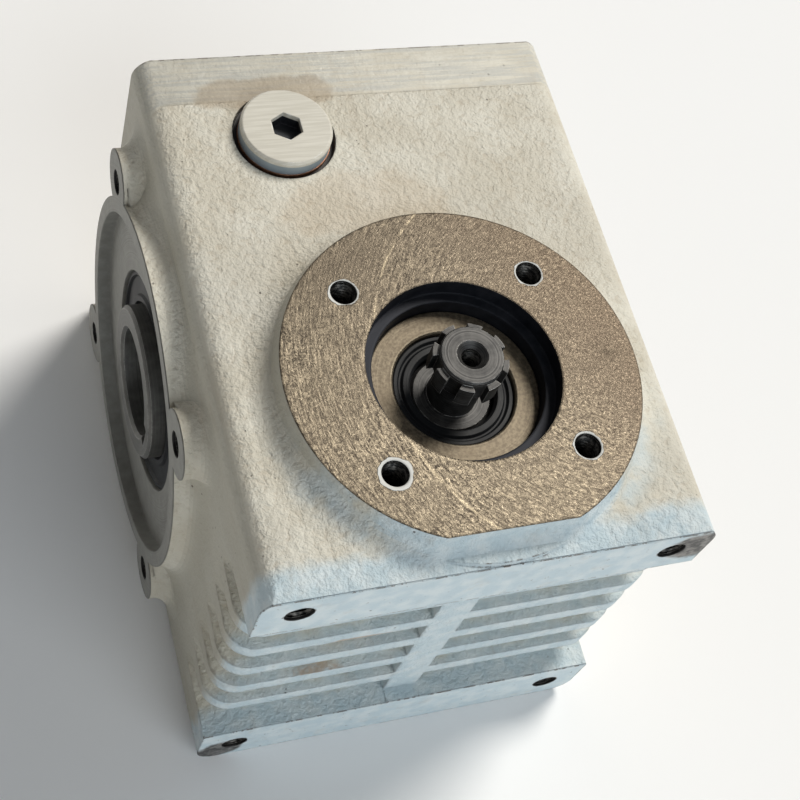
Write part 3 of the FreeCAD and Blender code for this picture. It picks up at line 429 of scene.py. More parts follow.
def front_stains(g, tone):
    """Stains round the oil plug and rust in the grooves between the fins."""
    facing = g.step(g.z, 65 * MM, 69 * MM)
    above_plug = spot(g, g.x, -33 * MM, 27 * MM, g.y, 58 * MM, 7 * MM, 0.5, 90)
    below_plug = spot(g, g.x, -12 * MM, 30 * MM, g.y, 14 * MM, 15 * MM, 0.6, 60)
    tone = g.blend(g.times(g.both(above_plug, facing), 0.50), tone, STAIN)
    tone = g.blend(g.times(g.both(below_plug, facing), 0.26), tone, PALE_STAIN)
    streaks = [spot(g, g.x, x, 13 * MM, g.z, z, 2.4 * MM, 0.6, 200) for x, z in FIN_RUST]
    in_groove = g.step(g.y, -93 * MM, -94 * MM)
    return g.blend(g.times(g.both(g.either(*streaks), in_groove), 0.60), tone, RUST)


def front_openings(g, result, black):
    """The front's machined places: foot holes, motor flange with its holes and bore, and the plug's seat."""
    foot_hole = four_holes(g, g.x, FOOT_MIDDLE_X, FOOT_HOLE_X, g.z, 0.0, FOOT_HOLE_Z)
    near_foot = g.step(g.y, FOOT_FACE + 20 * MM, FOOT_FACE + 19 * MM)
    result = g.over(g.both(g.near(foot_hole, FOOT_HOLE_RADIUS), near_foot), result, black)

    flange = g.step(g.z, FLANGE_FACE - 0.12 * MM, FLANGE_FACE - 0.05 * MM)
    inside = g.invert(flange)
    result = g.over(flange, result, milled_flange(g))

    # paint left on the lips of the holes, more of it on the lower left one
    flange_hole = four_holes(g, g.x, 0.0, FLANGE_HOLE_STEP, g.y, WORM_Y, FLANGE_HOLE_STEP)
    lower_left = g.both(g.step(g.x, 1 * MM, -1 * MM), g.step(g.y, WORM_Y + 1 * MM, WORM_Y - 1 * MM))
    lip_edge = g.minus(wandering(g, flange_hole, 2.0 * MM, 260, 3), g.times(lower_left, 0.55 * MM))
    lip = g.both(g.near(lip_edge, HOLE_RADIUS, 0.42 * MM, 0.62 * MM), flange)
    result = g.over(lip, result, Finish(LIP_PAINT, 0.0, 0.5, 0.25))
    result = g.over(g.both(g.near(flange_hole, HOLE_RADIUS), g.past(g.z, 60 * MM), inside), result, black)

    # the bore's wall: turned metal, painted near-black and bluish as painted shade inside the pilot recess
    bore = g.both(g.near(g.away("z"), PILOT_RADIUS, 0.1 * MM, 0.25 * MM), g.past(g.z, 40 * MM), inside)
    wall = turned_metal(g, g.z, BORE_SHADE_DEEP, BORE_SHADE_PALE, lines=3000, metal=0.5, rough=0.42)
    result = g.over(bore, result, wall._replace(height=g.times(wall.height, 0.03)))

    seat = g.near(g.radius(g.x, PLUG[0], g.y, PLUG[1]), PLUG_SEAT_RADIUS, -0.1 * MM, 0.1 * MM)
    return g.over(g.both(seat, g.past(g.z, 55 * MM)), result, black)


def casting_finish(name, side, front):
    """Painted casting with its machined faces bare. The housing's front carries the motor flange."""
    g = Graph(name)
    among_fins = g.both(g.step(g.y, -88 * MM, -93 * MM),
                        g.step(g.math("ABSOLUTE", g.z), RAIL_INNER - 0.3 * MM, RAIL_INNER - 0.9 * MM))
    rounded, edge = g.edges(g.fade(among_fins, 1.0 * MM, 2.6 * MM))
    on_foot = g.step(g.y, FOOT_FACE + 0.5 * MM, FOOT_FACE + 0.2 * MM)
    on_left = g.step(g.normal_axis(0), -0.55, -0.95)
    band = g.both(g.step(wandering(g, g.y, 2 * MM, 120, 3), TOP_BAND - 0.3 * MM, TOP_BAND + 0.5 * MM),
                  g.step(g.z, 65 * MM, 68 * MM))
    smooth = g.either(on_foot, g.times(band, 0.75), g.times(on_left, 0.6))
    paint = cast_paint(g, smooth)

    # a greyer top band with filing marks along X, and painted shade that darkens the faces turned to the left
    filed = g.noise(1.0, 4, 0.6, vector=g.stretched(45, 900, 900))
    tone = g.blend(g.times(band, g.step(filed, 0.40, 0.62)), paint.colour, GREY_PAINT)
    height = g.plus(paint.height, g.times(g.times(filed, 0.30), band))
    tone = g.blend(g.times(on_left, 0.72), tone, LEFT_SIDE_PAINTED_SHADE)

    # light blue towards the foot: blue paint there, partly painted cool light; painted cool light on faces
    # turned towards the foot; painted bluish shade round the lower side of the flange's root
    blue = g.step(wandering(g, g.y, 12 * MM, 70, 4, 0.6), -95 * MM, -101 * MM)
    # painted cool light: faces near the fins that turn towards the foot are tinted blue
    cool_light_on_foot_faces = g.both(g.step(g.normal_axis(1), -0.35, -0.75), g.step(g.y, -86 * MM, -92 * MM))
    blue = g.either(g.times(blue, g.fade(among_fins, 1.0, 0.85)), cool_light_on_foot_faces)
    if front:
        # painted bluish shade, in patches, on the lower side of the flange's fillet
        flange_root_shade = g.both(g.step(g.away("z"), 66 * MM, 57 * MM), g.step(g.y, -52 * MM, -84 * MM),
                      g.step(g.z, 60 * MM, 66 * MM))
        blue = g.either(blue, g.times(flange_root_shade, g.times(g.step(g.noise(95, 4), 0.34, 0.62), 0.7)))
    tone = g.blend(blue, tone, g.blend(g.step(g.noise(180, 3), 0.35, 0.70), BLUE, BLUE_LIGHT))

    # stains, pits and runs
    if front:
        tone = front_stains(g, tone)
    pits = g.both(g.step(g.plus(g.cells(330), g.times(g.noise(900, 3), 0.12)), 0.21, 0.12),
                  g.step(g.noise(42, 3, 0.6), 0.57, 0.66))
    tone = g.blend(g.times(pits, 0.70), tone, CHIP)
    runs = g.noise(1.0, 3, 0.6, vector=g.stretched(160, 14, 160))
    tone = g.blend(g.times(g.step(runs, 0.55, 0.75), 0.16), tone, STAIN)
    painted = Finish(tone, 0.0, paint.rough, g.minus(height, g.times(pits, 0.3)))

    # bare metal where the paint has gone, most of it at the foot and the top
    chip_zone = g.either(g.step(g.y, FOOT_FACE + 3.0 * MM, FOOT_FACE + 1.2 * MM),
                         g.step(g.y, TOP_FACE - 2.4 * MM, TOP_FACE - 0.8 * MM))
    torn_paint = g.minus(g.noise(330, 5, 0.65), g.fade(chip_zone, 0.74, 0.50))
    chips = g.both(edge, g.step(torn_paint, 0.0, 0.03))
    nicks = g.both(on_foot, g.step(g.noise(420, 5, 0.7), 0.655, 0.675))
    chip = Finish(g.blend(g.noise(300), CHIP, CHIP_EDGE), 0.3, 0.6, height)
    result = g.over(g.either(chips, nicks), painted, chip)
    if front:
        iron = Finish(g.blend(g.step(g.noise(500, 4, 0.6), 0.35, 0.65), IRON_DARK, IRON_LIGHT), 0.75,
                      g.fade(g.noise(150), 0.35, 0.6), g.times(g.noise(900, 3), 0.10))
        wear_and_glints = g.either(spot(g, g.x, 61 * MM, 9 * MM, g.z, 60 * MM, 10 * MM),
                        spot(g, g.x, -64 * MM, 9 * MM, g.z, -64 * MM, 8 * MM))
        result = g.over(g.both(wear_and_glints, on_foot), result, iron)

    # machined output pad, and bare holes that are black inside
    from_axis, machined, pad_hole = pad_masks(g, side)
    pad = turned_metal(g, from_axis, PAD_DARK, PAD_LIGHT, lines=2200, metal=0.30, rough=0.48)
    result = g.over(machined, result, pad._replace(height=g.times(pad.height, 0.05)))
    black = Finish(g.blend(g.noise(700, 3), HOLE_DARK, HOLE_LIGHT), 0.6, 0.42, 0.4)
    in_pad = g.past(g.times(g.x, side), 55 * MM)
    result = g.over(g.both(g.near(pad_hole, HOLE_RADIUS), in_pad), result, black)
    if front:
        result = front_openings(g, result, black)
    return g.finish(result, 1.15 * MM, rounded, 0.36)


def axis_metal(name, across, dark, light, rough, metal=0.9, edge_highlight=None, edge_width=0.35 * MM,
               lines=2600):
    """Turned or ground steel and iron. across is "x" round the output axis and "z" round the worm's."""
    g = Graph(name)
    rounded, edge = g.edges(edge_width)
    rings = g.plus(g.away(across), g.x if across == "x" else g.z)
    metal_finish = turned_metal(g, rings, dark, light, lines, metal, rough)
    scratches = g.noise(1.0, 3, 0.6, vector=g.stretched(1500, 120, 300))
    tone = g.blend(g.times(g.step(scratches, 0.60, 0.72), 0.35), metal_finish.colour, light)
    if edge_highlight:
        # painted highlights: bright patches of colour along the edges
        bright = g.both(edge, g.step(g.noise(420, 3), 0.32, 0.52))
        tone = g.blend(bright, tone, edge_highlight)
    return g.finish(metal_finish._replace(colour=tone), 0.05 * MM, rounded)


def grained_iron(name):
    """The seal carrier: turned iron with a warm, grainy oxide."""
    g = Graph(name)
    rounded, edge = g.edges(0.5 * MM)
    grain = g.noise(900, 4, 0.65)
    patch = g.noise(70, 3, 0.6)
    rings = g.noise(1.0, 2, 0.5, vector=g.vector(g.times(g.away("z"), 1500), 0.0, 0.0))
    mottle = g.plus(g.times(grain, 0.7), g.times(rings, 0.3))
    tone = g.blend(g.step(mottle, 0.38, 0.64), CARRIER_DARK, CARRIER_LIGHT)
    tone = g.blend(g.times(g.step(patch, 0.45, 0.65), 0.4), tone, CARRIER_PATCH)
    tone = g.blend(g.both(edge, g.step(g.noise(300), 0.35, 0.55)), tone, CARRIER_EDGE)
    finish = Finish(tone, 0.72, g.fade(grain, 0.40, 0.66), g.times(grain, 0.6))
    return g.finish(finish, 0.10 * MM, rounded)


def rubber_finish(name, across):
    """Moulded black rubber with faint rings, dust and an oily sheen."""
    g = Graph(name)
    rounded, _ = g.edges(0.3 * MM)
    rings = g.noise(1.0, 1, 0.5, vector=g.vector(g.times(g.away(across), 1700), 0.0, 0.0))
    dust = g.both(g.step(g.noise(160, 4, 0.65), 0.50, 0.72), g.step(g.noise(1400, 2), 0.42, 0.62))
    tone = g.blend(g.times(dust, 0.18), g.blend(rings, RUBBER, RUBBER_LIGHT), DUST)
    height = g.plus(g.times(rings, 0.4), g.times(dust, 0.2))
    finish = Finish(tone, 0.0, g.fade(g.noise(90, 3), 0.36, 0.58), height)
    return g.finish(finish, 0.06 * MM, rounded, 0.20)


def plug_finish(name):
    """Painted plug head, filed smooth on top, with painted blue-grey shade on its side, and bare in the
    socket.
    """
    g = Graph(name)
    rounded, edge = g.edges(0.6 * MM)
    away = g.radius(g.x, PLUG[0], g.y, PLUG[1])
    filed = g.noise(1.0, 4, 0.6, vector=g.stretched(60, 1100, 200))
    top = g.step(g.z, FRONT_FACE + 2.9 * MM, FRONT_FACE + 3.1 * MM)
    tone = g.blend(g.step(filed, 0.35, 0.70), PLUG_DARK, PLUG_LIGHT)
    # painted shade: the plug's side is blue-grey and darker than its top
    side = g.blend(g.noise(150, 3), PLUG_SIDE_SHADE_DEEP, PLUG_SIDE_SHADE_PALE)
    tone = g.blend(top, side, tone)
    chips = g.both(edge, g.step(g.noise(260, 4), 0.53, 0.58))
    tone = g.blend(chips, tone, PLUG_EDGE)
    finish = Finish(tone, 0.0, g.fade(filed, 0.42, 0.60), g.times(filed, 0.5))
    socket = g.near(away, PLUG_SOCKET_RADIUS, 0.0, 0.15 * MM)
    dark = Finish(g.blend(g.noise(300, 3), SOCKET_DARK, SOCKET_LIGHT), 0.7, 0.32, 0.3)
    finish = g.over(g.both(socket, g.invert(top)), finish, dark)
    under = g.step(g.z, FRONT_FACE - 0.4 * MM, FRONT_FACE - 0.6 * MM)
    finish = g.over(under, finish, dark)
    return g.finish(finish, 0.07 * MM, rounded)


def moulded_finish(name, colour, light, rough, grain=900):
    """A plain moulded, pressed or cut material with fine grain and mottling."""
    g = Graph(name)
    rounded, _ = g.edges(0.25 * MM)
    mottle = g.noise(130, 4, 0.6)
    fine = g.noise(grain, 3, 0.6)
    tone = g.blend(g.step(g.plus(g.times(mottle, 0.6), g.times(fine, 0.4)), 0.35, 0.66), colour, light)
    finish = Finish(tone, 0.0, g.fade(fine, rough, rough + 0.2), g.times(fine, 0.5))
    return g.finish(finish, 0.05 * MM, rounded)


def thread_finish(name, dark, light):
    """Oily tapped thread: black in the roots and brighter on the crests."""
    g = Graph(name)
    rounded, edge = g.edges(0.15 * MM)
    tone = g.blend(g.step(g.noise(800, 3), 0.38, 0.66), dark, light)
    tone = g.blend(g.times(edge, 0.65), tone, CREST)
    finish = Finish(tone, 0.8, g.fade(g.noise(300), 0.25, 0.45), g.noise(1200, 2))
    return g.finish(finish, 0.03 * MM, rounded)


def shade_smooth_tree(angle):
    """A modifier tree that welds the mesh and shades it smooth between flat-meeting faces."""
    tree = bpy.data.node_groups.new("shade_by_angle", "GeometryNodeTree")
    tree.interface.new_socket("Geometry", in_out="INPUT", socket_type="NodeSocketGeometry")
    tree.interface.new_socket("Geometry", in_out="OUTPUT", socket_type="NodeSocketGeometry")
    start = tree.nodes.new("NodeGroupInput")
    end = tree.nodes.new("NodeGroupOutput")
    weld = tree.nodes.new("GeometryNodeMergeByDistance")
    weld.inputs["Distance"].default_value = WELD_GAP
    faces = tree.nodes.new("GeometryNodeSetShadeSmooth")
    faces.domain = "FACE"
    faces.inputs["Shade Smooth"].default_value = True
    sharp = tree.nodes.new("GeometryNodeSetShadeSmooth")
    sharp.domain = "EDGE"
    turn = tree.nodes.new("GeometryNodeInputMeshEdgeAngle")
    flat = tree.nodes.new("FunctionNodeCompare")
    flat.data_type = "FLOAT"
    flat.operation = "LESS_THAN"
    flat.inputs[1].default_value = angle
    links = tree.links
    links.new(start.outputs[0], weld.inputs["Geometry"])
    links.new(weld.outputs[0], faces.inputs["Geometry"])
    links.new(faces.outputs[0], sharp.inputs["Geometry"])
    links.new(turn.outputs["Unsigned Angle"], flat.inputs[0])
    links.new(flat.outputs[0], sharp.inputs["Shade Smooth"])
    links.new(sharp.outputs[0], end.inputs[0])
    return tree


shading = shade_smooth_tree(math.radians(32))


def dress(name, material):
    """Give a node its finish in every material slot that it has."""
    piece = nodes[name]
    if not piece.material_slots:
        piece.data.materials.append(material)
    for slot in piece.material_slots:
        slot.material = material
    piece.modifiers.new("shading", "NODES").node_group = shading


def add_ring(mesh, middle, side, other, radii):
    """Add a ring of vertices round a point, in the plane of two directions, with a radius for each vertex."""
    ring = []
    for i, radius in enumerate(radii):
        turn = 2 * math.pi * i / len(radii)
        ring.append(mesh.verts.new(middle + radius * (side * math.cos(turn) + other * math.sin(turn))))
    return ring


def join_rings(mesh, rings):
    """Join each ring of vertices to the next, and the last one to the first, into a closed solid."""
    for first, second in zip(rings, rings[1:] + rings[:1]):
        for i in range(len(first)):
            j = (i + 1) % len(first)
            mesh.faces.new((first[i], first[j], second[j], second[i]))


def two_sides(axis):
    """Two directions square to an axis and to each other."""
    side = axis.orthogonal().normalized()
    return side, axis.cross(side)


def thread_sleeve(mesh, mouth, inward, radius, pitch, length):
    """Add one internal thread to a mesh: a closed sleeve whose inner wall is a helix of V grooves."""
    depth = 0.54 * pitch
    skin_radius = radius + 0.05 * MM
    rows = int(length / pitch * THREAD_ROWS)
    axis = Vector(inward)
    side, other = two_sides(axis)

    def groove(along, i):
        """The wall's radius at a depth and a step round the hole. The grooves fade in over the first turn."""
        phase = (along / pitch - i / THREAD_STEPS) % 1.0
        return radius - depth * (1 - abs(2 * phase - 1)) * min(1.0, along / pitch)

    def ring_at(along, radii):
        return add_ring(mesh, Vector(mouth) + axis * along, side, other, radii)

    places = [length * row / rows for row in range(rows + 1)]
    wall = [ring_at(along, [groove(along, i) for i in range(THREAD_STEPS)]) for along in places]
    near_end, far_end = [ring_at(along, [skin_radius] * THREAD_STEPS) for along in (0.0, length)]
    join_rings(mesh, [near_end] + wall + [far_end])


def new_object(name, mesh):
    """An object that holds a bmesh, which is then freed."""
    bmesh.ops.recalc_face_normals(mesh, faces=mesh.faces)
    data = bpy.data.meshes.new(name)
    mesh.to_mesh(data)
    mesh.free()
    made = bpy.data.objects.new(name, data)
    bpy.context.scene.collection.objects.link(made)
    return made


def new_piece(name, mesh, material, body="case"):
    """A smooth-shaded piece that rides on a body."""
    piece = new_object(name, mesh)
    piece.data.materials.append(material)
    piece.modifiers.new("shading", "NODES").node_group = shading
    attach(piece, body)
    return piece


def threads(name, body, material, places, radius, pitch, length):
    """One piece that holds the threads of a group of holes."""
    mesh = bmesh.new()
    for mouth, inward in places:
        thread_sleeve(mesh, mouth, inward, radius, pitch, length)
    new_piece(name, mesh, material, body)


def curve_point(ends, t):
    """A point at t on the cubic curve with four control points."""
    s = 1 - t
    weights = (s ** 3, 3 * s * s * t, 3 * s * t * t, t ** 3)
    return tuple(sum(weight * end[k] for weight, end in zip(weights, ends)) for k in (0, 1))


def concave_ring(name, material, place, edge, top, foot):
    """
    A cast fillet round a raised face. edge(turn) is the raised outline's radius, top the height where the
    fillet starts, and foot(turn) gives the radius and height where it runs out. place(height, radius, turn)
    gives the point in the part's frame. The back of the ring lies inside the casting.
    """
    buried = 4 * MM
    mesh = bmesh.new()
    sections = []
    for i in range(FILLET_STEPS):
        turn = 2 * math.pi * i / FILLET_STEPS
        inner = edge(turn)
        outer, low = foot(turn)
        wide = outer - inner
        tall = top - low
        ends = ((top, inner - 0.3 * MM), (low + 0.42 * tall, inner + 0.04 * wide),
                (low + 0.06 * tall, inner + 0.36 * wide), (low - 0.12 * MM, outer))
        section = [curve_point(ends, k / FILLET_ROWS) for k in range(FILLET_ROWS + 1)]
        section += [(low - buried, outer - 1 * MM), (low - buried, inner - 3 * MM),
                    (top - 2 * MM, inner - 3 * MM)]
        sections.append([mesh.verts.new(place(height, radius, turn)) for height, radius in section])
    join_rings(mesh, [list(ring) for ring in zip(*sections)])
    new_piece(name, mesh, material)


def pad_edge(turn):
    """Radius of the output pad's outline, lobes included, at an angle round X."""
    reach = PAD_RADIUS
    for lobe in (45, 135, 225, 315):
        away = turn - math.radians(lobe)
        across = LOBE_PLACE * math.sin(away)
        if math.cos(away) > 0 and abs(across) < LOBE_RADIUS:
            reach = max(reach, LOBE_PLACE * math.cos(away) + math.sqrt(LOBE_RADIUS ** 2 - across ** 2))
    return reach


def pad_foot(turn):
    """Where the left pad's fillet meets the side of the casting: radius, and distance out from the middle."""
    width = 10 * MM
    limit_across, limit_up, limit_down = 62.8 * MM, 70.5 * MM, 76 * MM
    spread = [pad_edge(turn + math.radians(step)) for step in range(-12, 13, 2)]
    outer = max(sum(spread) / len(spread), pad_edge(turn)) + width
    up, across = math.cos(turn), math.sin(turn)
    outer = min(outer, limit_across / max(abs(across), 0.01))
    outer = min(outer, (limit_up if up > 0 else limit_down) / max(abs(up), 0.01))
    past_corner = max(0.0, abs(outer * across) - (FRONT_FACE - CORNER_RADIUS))
    return outer, SIDE_FACE - CORNER_RADIUS + math.sqrt(CORNER_RADIUS ** 2 - past_corner ** 2)


def flange_edge(turn):
    """Radius of the motor flange's side just under its face, flat included, at an angle round Z."""
    round_edge = FLANGE_RADIUS + FLANGE_DRAFT * 0.25
    down = -math.sin(turn)
    return min(round_edge, FLANGE_FLAT / down) if down > 0 else round_edge


def flange_foot(turn):
    """Where the motor flange's fillet meets the front of the casting: radius and height."""
    width, extra, limit_down = 7.5 * MM, 6.0 * MM, 56.6 * MM
    left_below = max(0.0, math.cos(turn - math.radians(218)))
    outer = FLANGE_RADIUS + width + extra * left_below
    down, across = -math.sin(turn), math.cos(turn)
    if down > 0:
        outer = min(outer, limit_down / down)
    flat_half = (SIDE_FACE if across < 0 else RIGHT_FACE) - CORNER_RADIUS - 0.2 * MM
    outer = min(outer, flat_half / max(abs(across), 0.01))
    y = WORM_Y + outer * math.sin(turn)
    return outer, FRONT_FACE + min(0.0, y - BEVEL_START) * BEVEL_SLOPE


def low_cover_edge(turn):
    """Radius of the side cover's rim, with an ear round each screw."""
    reach = COVER_EDGE
    for screw in COVER_SCREW_TURNS:
        away = turn - screw
        across = COVER_SCREW_PLACE * math.sin(away)
        if math.cos(away) > 0 and abs(across) < COVER_EAR:
            reach = max(reach, COVER_SCREW_PLACE * math.cos(away) + math.sqrt(COVER_EAR ** 2 - across ** 2))
    return reach


def cover_ring(mesh, x, radius):
    """A round ring of vertices about the output axis."""
    return add_ring(mesh, Vector((x, 0, 0)), Y_WAY, Z_WAY, [radius] * COVER_STEPS)


def rim_ring(mesh, x, inset=0.0):
    """A ring of vertices that follows the side cover's rim, less an inset."""
    radii = [low_cover_edge(2 * math.pi * i / COVER_STEPS) - inset for i in range(COVER_STEPS)]
    return add_ring(mesh, Vector((x, 0, 0)), Y_WAY, Z_WAY, radii)


def low_side_cover(material):
    """The bolted side cover: a thin eared rim, and a boss that carries the bearing and the seal."""
    rim_chamfer = 0.4 * MM
    spigot = [(45.5, 40), (45.5, 47), (58, 47), (58, 53.9), (66.5, 53.9)]
    boss = [(67.9, 48.5), (68.2, 46.6), (69.4, 45.1), (71.4, 44.3), (78.4, 43.6), (79, 43), (79, 40)]
    bores = [(74.5, 40), (74.5, 36), (65.5, 36), (65.5, 34), (62, 34), (62, 40)]
    mesh = bmesh.new()
    rings = [cover_ring(mesh, x * MM, radius * MM) for x, radius in spigot]
    rings += [rim_ring(mesh, COVER_BACK), rim_ring(mesh, COVER_RIM_FACE - rim_chamfer),
              rim_ring(mesh, COVER_RIM_FACE, rim_chamfer)]
    rings += [cover_ring(mesh, x * MM, radius * MM) for x, radius in boss + bores]
    join_rings(mesh, rings)
    piece = new_piece("low_side_cover", mesh, material)
    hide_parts("side_cover")


def low_cover_gasket(material):
    """The gasket under the cover's rim."""
    inner, inset = 54.2 * MM, 0.5 * MM
    mesh = bmesh.new()
    join_rings(mesh, [cover_ring(mesh, RIGHT_FACE, inner), rim_ring(mesh, RIGHT_FACE, inset),
                      rim_ring(mesh, COVER_BACK, inset), cover_ring(mesh, COVER_BACK, inner)])
    piece = new_piece("low_cover_gasket", mesh, material)
    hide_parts("cover_gasket")


def low_cover_screws(material):
    """Low socket screws in the cover's ears, each turned about a core that is too thin to see."""
    head, shank, core = 4.4 * MM, 2.9 * MM, 0.02 * MM
    chamfer, point = 0.2 * MM, 0.6 * MM
    tip, seat, top = 54.5 * MM, 66.6 * MM, COVER_RIM_FACE + 0.1 * MM
    socket_flat, socket_depth = 2.5 * MM, 1.4 * MM
    sixth = math.pi / 3
    hexagon = [socket_flat / math.cos((2 * math.pi * i / SCREW_STEPS + sixth / 2) % sixth - sixth / 2)
               for i in range(SCREW_STEPS)]
    turned = [(tip, core), (tip, shank - point), (tip + point, shank), (seat, shank), (seat, head),
              (top - chamfer, head), (top, head - chamfer)]
    profile = [(x, [radius] * SCREW_STEPS) for x, radius in turned]
    profile += [(top, hexagon), (top - socket_depth, hexagon), (top - socket_depth, [core] * SCREW_STEPS)]
    mesh = bmesh.new()
    for screw in COVER_SCREW_TURNS:
        middle = COVER_SCREW_PLACE * (Y_WAY * math.cos(screw) + Z_WAY * math.sin(screw))
        join_rings(mesh, [add_ring(mesh, middle + Vector((x, 0, 0)), Y_WAY, Z_WAY, radii)
                          for x, radii in profile])
    piece = new_piece("low_cover_screws", mesh, material)
    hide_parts("cover_screws")


def box_cutter(low, high):
    """A plain box that is only used to cut."""
    mesh = bmesh.new()
    bmesh.ops.create_cube(mesh, size=1.0)
    for vert in mesh.verts:
        vert.co = Vector([low[k] + (vert.co[k] + 0.5) * (high[k] - low[k]) for k in range(3)])
    return new_object("cutter", mesh)


def hole_cutter(mouth, inward, radius, depth):
    """A plain round bar that is only used to cut. It starts just outside the mouth."""
    axis = Vector(inward)
    side, other = two_sides(axis)
    mesh = bmesh.new()
    start, end = [add_ring(mesh, Vector(mouth) + axis * along, side, other, [radius] * CUTTER_STEPS)
                  for along in (-1 * MM, depth)]
    for i in range(CUTTER_STEPS):
        j = (i + 1) % CUTTER_STEPS
        mesh.faces.new((start[i], start[j], end[j], end[i]))
    mesh.faces.new(start)
    mesh.faces.new(end)
    return new_object("cutter", mesh)


def carved_housing(material, cutters):
    """The housing with its bridge between the fins lowered, and the tapped holes of the right face."""
    mesh = bmesh.new()
    mesh.from_mesh(nodes["housing"].data)
    bmesh.ops.remove_doubles(mesh, verts=mesh.verts, dist=WELD_GAP)
    whole = new_object("whole", mesh)
    for cutter in cutters:
        modifier = whole.modifiers.new("cut", "BOOLEAN")
        modifier.operation = "DIFFERENCE"
        modifier.solver = "EXACT"
        modifier.object = cutter
    cut = bpy.data.meshes.new_from_object(whole.evaluated_get(bpy.context.evaluated_depsgraph_get()))
    mesh = bmesh.new()
    mesh.from_mesh(cut)
    for spent in cutters + [whole]:
        bpy.data.objects.remove(spent)
    piece = new_piece("carved_housing", mesh, material)
    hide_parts("housing")


# the casting and its cover
housing_paint = casting_finish("housing_paint", -1, True)
cuts = [box_cutter((BRIDGE[0] - 0.3 * MM, FOOT_FACE - 1 * MM, -RAIL_INNER),
                   (BRIDGE[1] + 0.3 * MM, FIN_TIP, RAIL_INNER))]
for a, b in CORNERS:
    right_mouth = (RIGHT_FACE, a * PAD_HOLE_STEP, b * PAD_HOLE_STEP)
    cuts.append(hole_cutter(right_mouth, (-1, 0, 0), HOLE_RADIUS, 12 * MM))
carved_housing(housing_paint, cuts)
concave_ring("left_pad_fillet", housing_paint,
             lambda out, radius, turn: (-out, radius * math.cos(turn), radius * math.sin(turn)),
             pad_edge, PAD_FACE - 1.2 * MM, pad_foot)
concave_ring("flange_fillet", housing_paint,
             lambda height, radius, turn: (radius * math.cos(turn), WORM_Y + radius * math.sin(turn), height),
             flange_edge, FLANGE_FACE - 2 * MM, flange_foot)
low_side_cover(casting_finish("cover_paint", 1, False))
low_cover_gasket(moulded_finish("gasket_paper", (0.165, 0.135, 0.085), (0.300, 0.255, 0.170),
                                rough=0.65, grain=1500))
low_cover_screws(axis_metal("screw_steel", "x", (0.022, 0.022, 0.024), (0.085, 0.085, 0.090),
                            rough=0.35, metal=0.8, edge_highlight=(0.300, 0.300, 0.300),
                            edge_width=0.3 * MM, lines=3000))

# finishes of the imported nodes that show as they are
dress("output_hub", axis_metal("hub_iron", "x", (0.115, 0.113, 0.105), (0.215, 0.212, 0.198),
                               rough=0.40, metal=0.70, edge_highlight=(0.520, 0.510, 0.480),
                               edge_width=0.5 * MM))
dress("worm_shaft", axis_metal("shaft_steel", "z", (0.026, 0.026, 0.026), (0.115, 0.112, 0.108),
                               rough=0.38, metal=0.80, edge_highlight=(0.460, 0.450, 0.430), lines=2300))
dress("seal_carrier", grained_iron("carrier_iron"))
seal_rubber = rubber_finish("seal_rubber", "x")
dress("left_seal", seal_rubber)
dress("right_seal", seal_rubber)
dress("input_seal", rubber_finish("input_seal_rubber", "z"))
dress("end_cap", rubber_finish("cap_rubber", "z"))
dress("oil_plug", plug_finish("plug_paint"))
dress("plug_washer", axis_metal("washer_copper", "z", (0.230, 0.105, 0.060), (0.560, 0.300, 0.190),
                                rough=0.35))
dress("rear_circlip", axis_metal("spring_steel", "z", (0.045, 0.045, 0.048), (0.190, 0.190, 0.195),
                                 rough=0.30))
dress("wheel_rim", axis_metal("wheel_bronze", "x", (0.330, 0.190, 0.070), (0.720, 0.500, 0.240),
                              rough=0.28, metal=0.95, edge_highlight=(0.850, 0.660, 0.380),
                              edge_width=0.3 * MM, lines=1700))
dress("rim_pins", axis_metal("pin_steel", "x", (0.180, 0.180, 0.180), (0.520, 0.520, 0.520),
                             rough=0.22, metal=0.95))
for line, across in (("left", "x"), ("right", "x"), ("rear", "z"), ("front", "z")):
    ring_steel = axis_metal(line + "_ring_steel", across, (0.270, 0.270, 0.275), (0.640, 0.640, 0.645),
                            rough=0.16, metal=1.0, edge_highlight=(0.800, 0.800, 0.800),
                            edge_width=0.25 * MM, lines=3400)
    dress(line + "_bearing_outer_ring", ring_steel)
    dress(line + "_bearing_inner_ring", ring_steel)
    dress(line + "_bearing_balls",
          axis_metal(line + "_ball_steel", across, (0.480, 0.480, 0.485), (0.700, 0.700, 0.705),
                     rough=0.08, metal=1.0, edge_width=0.1 * MM, lines=900))
    dress(line + "_bearing_cage",
          moulded_finish(line + "_cage_polymer", (0.420, 0.340, 0.200), (0.580, 0.490, 0.320), rough=0.42))

# screw threads inside the tapped holes, each a little way in from the mouth
oily = thread_finish("thread_steel", (0.012, 0.012, 0.012), (0.110, 0.104, 0.094))
mouth_gap = 0.9 * MM
flange_mouths, left_mouths, right_mouths, foot_mouths = [], [], [], []
for a, b in CORNERS:
    flange_mouths.append(((a * FLANGE_HOLE_STEP, WORM_Y + b * FLANGE_HOLE_STEP, FLANGE_FACE - mouth_gap),
                          (0, 0, -1)))
    left_mouths.append(((-PAD_FACE + mouth_gap, a * PAD_HOLE_STEP, b * PAD_HOLE_STEP), (1, 0, 0)))
    right_mouths.append(((RIGHT_FACE - mouth_gap, a * PAD_HOLE_STEP, b * PAD_HOLE_STEP), (-1, 0, 0)))
    foot_mouths.append(((FOOT_MIDDLE_X + a * FOOT_HOLE_X, FOOT_FACE + mouth_gap, b * FOOT_HOLE_Z), (0, 1, 0)))
threads("flange_threads", "case", oily, flange_mouths, HOLE_RADIUS, HOLE_PITCH, 14 * MM)
threads("left_pad_threads", "case", oily, left_mouths, HOLE_RADIUS, HOLE_PITCH, 11 * MM)
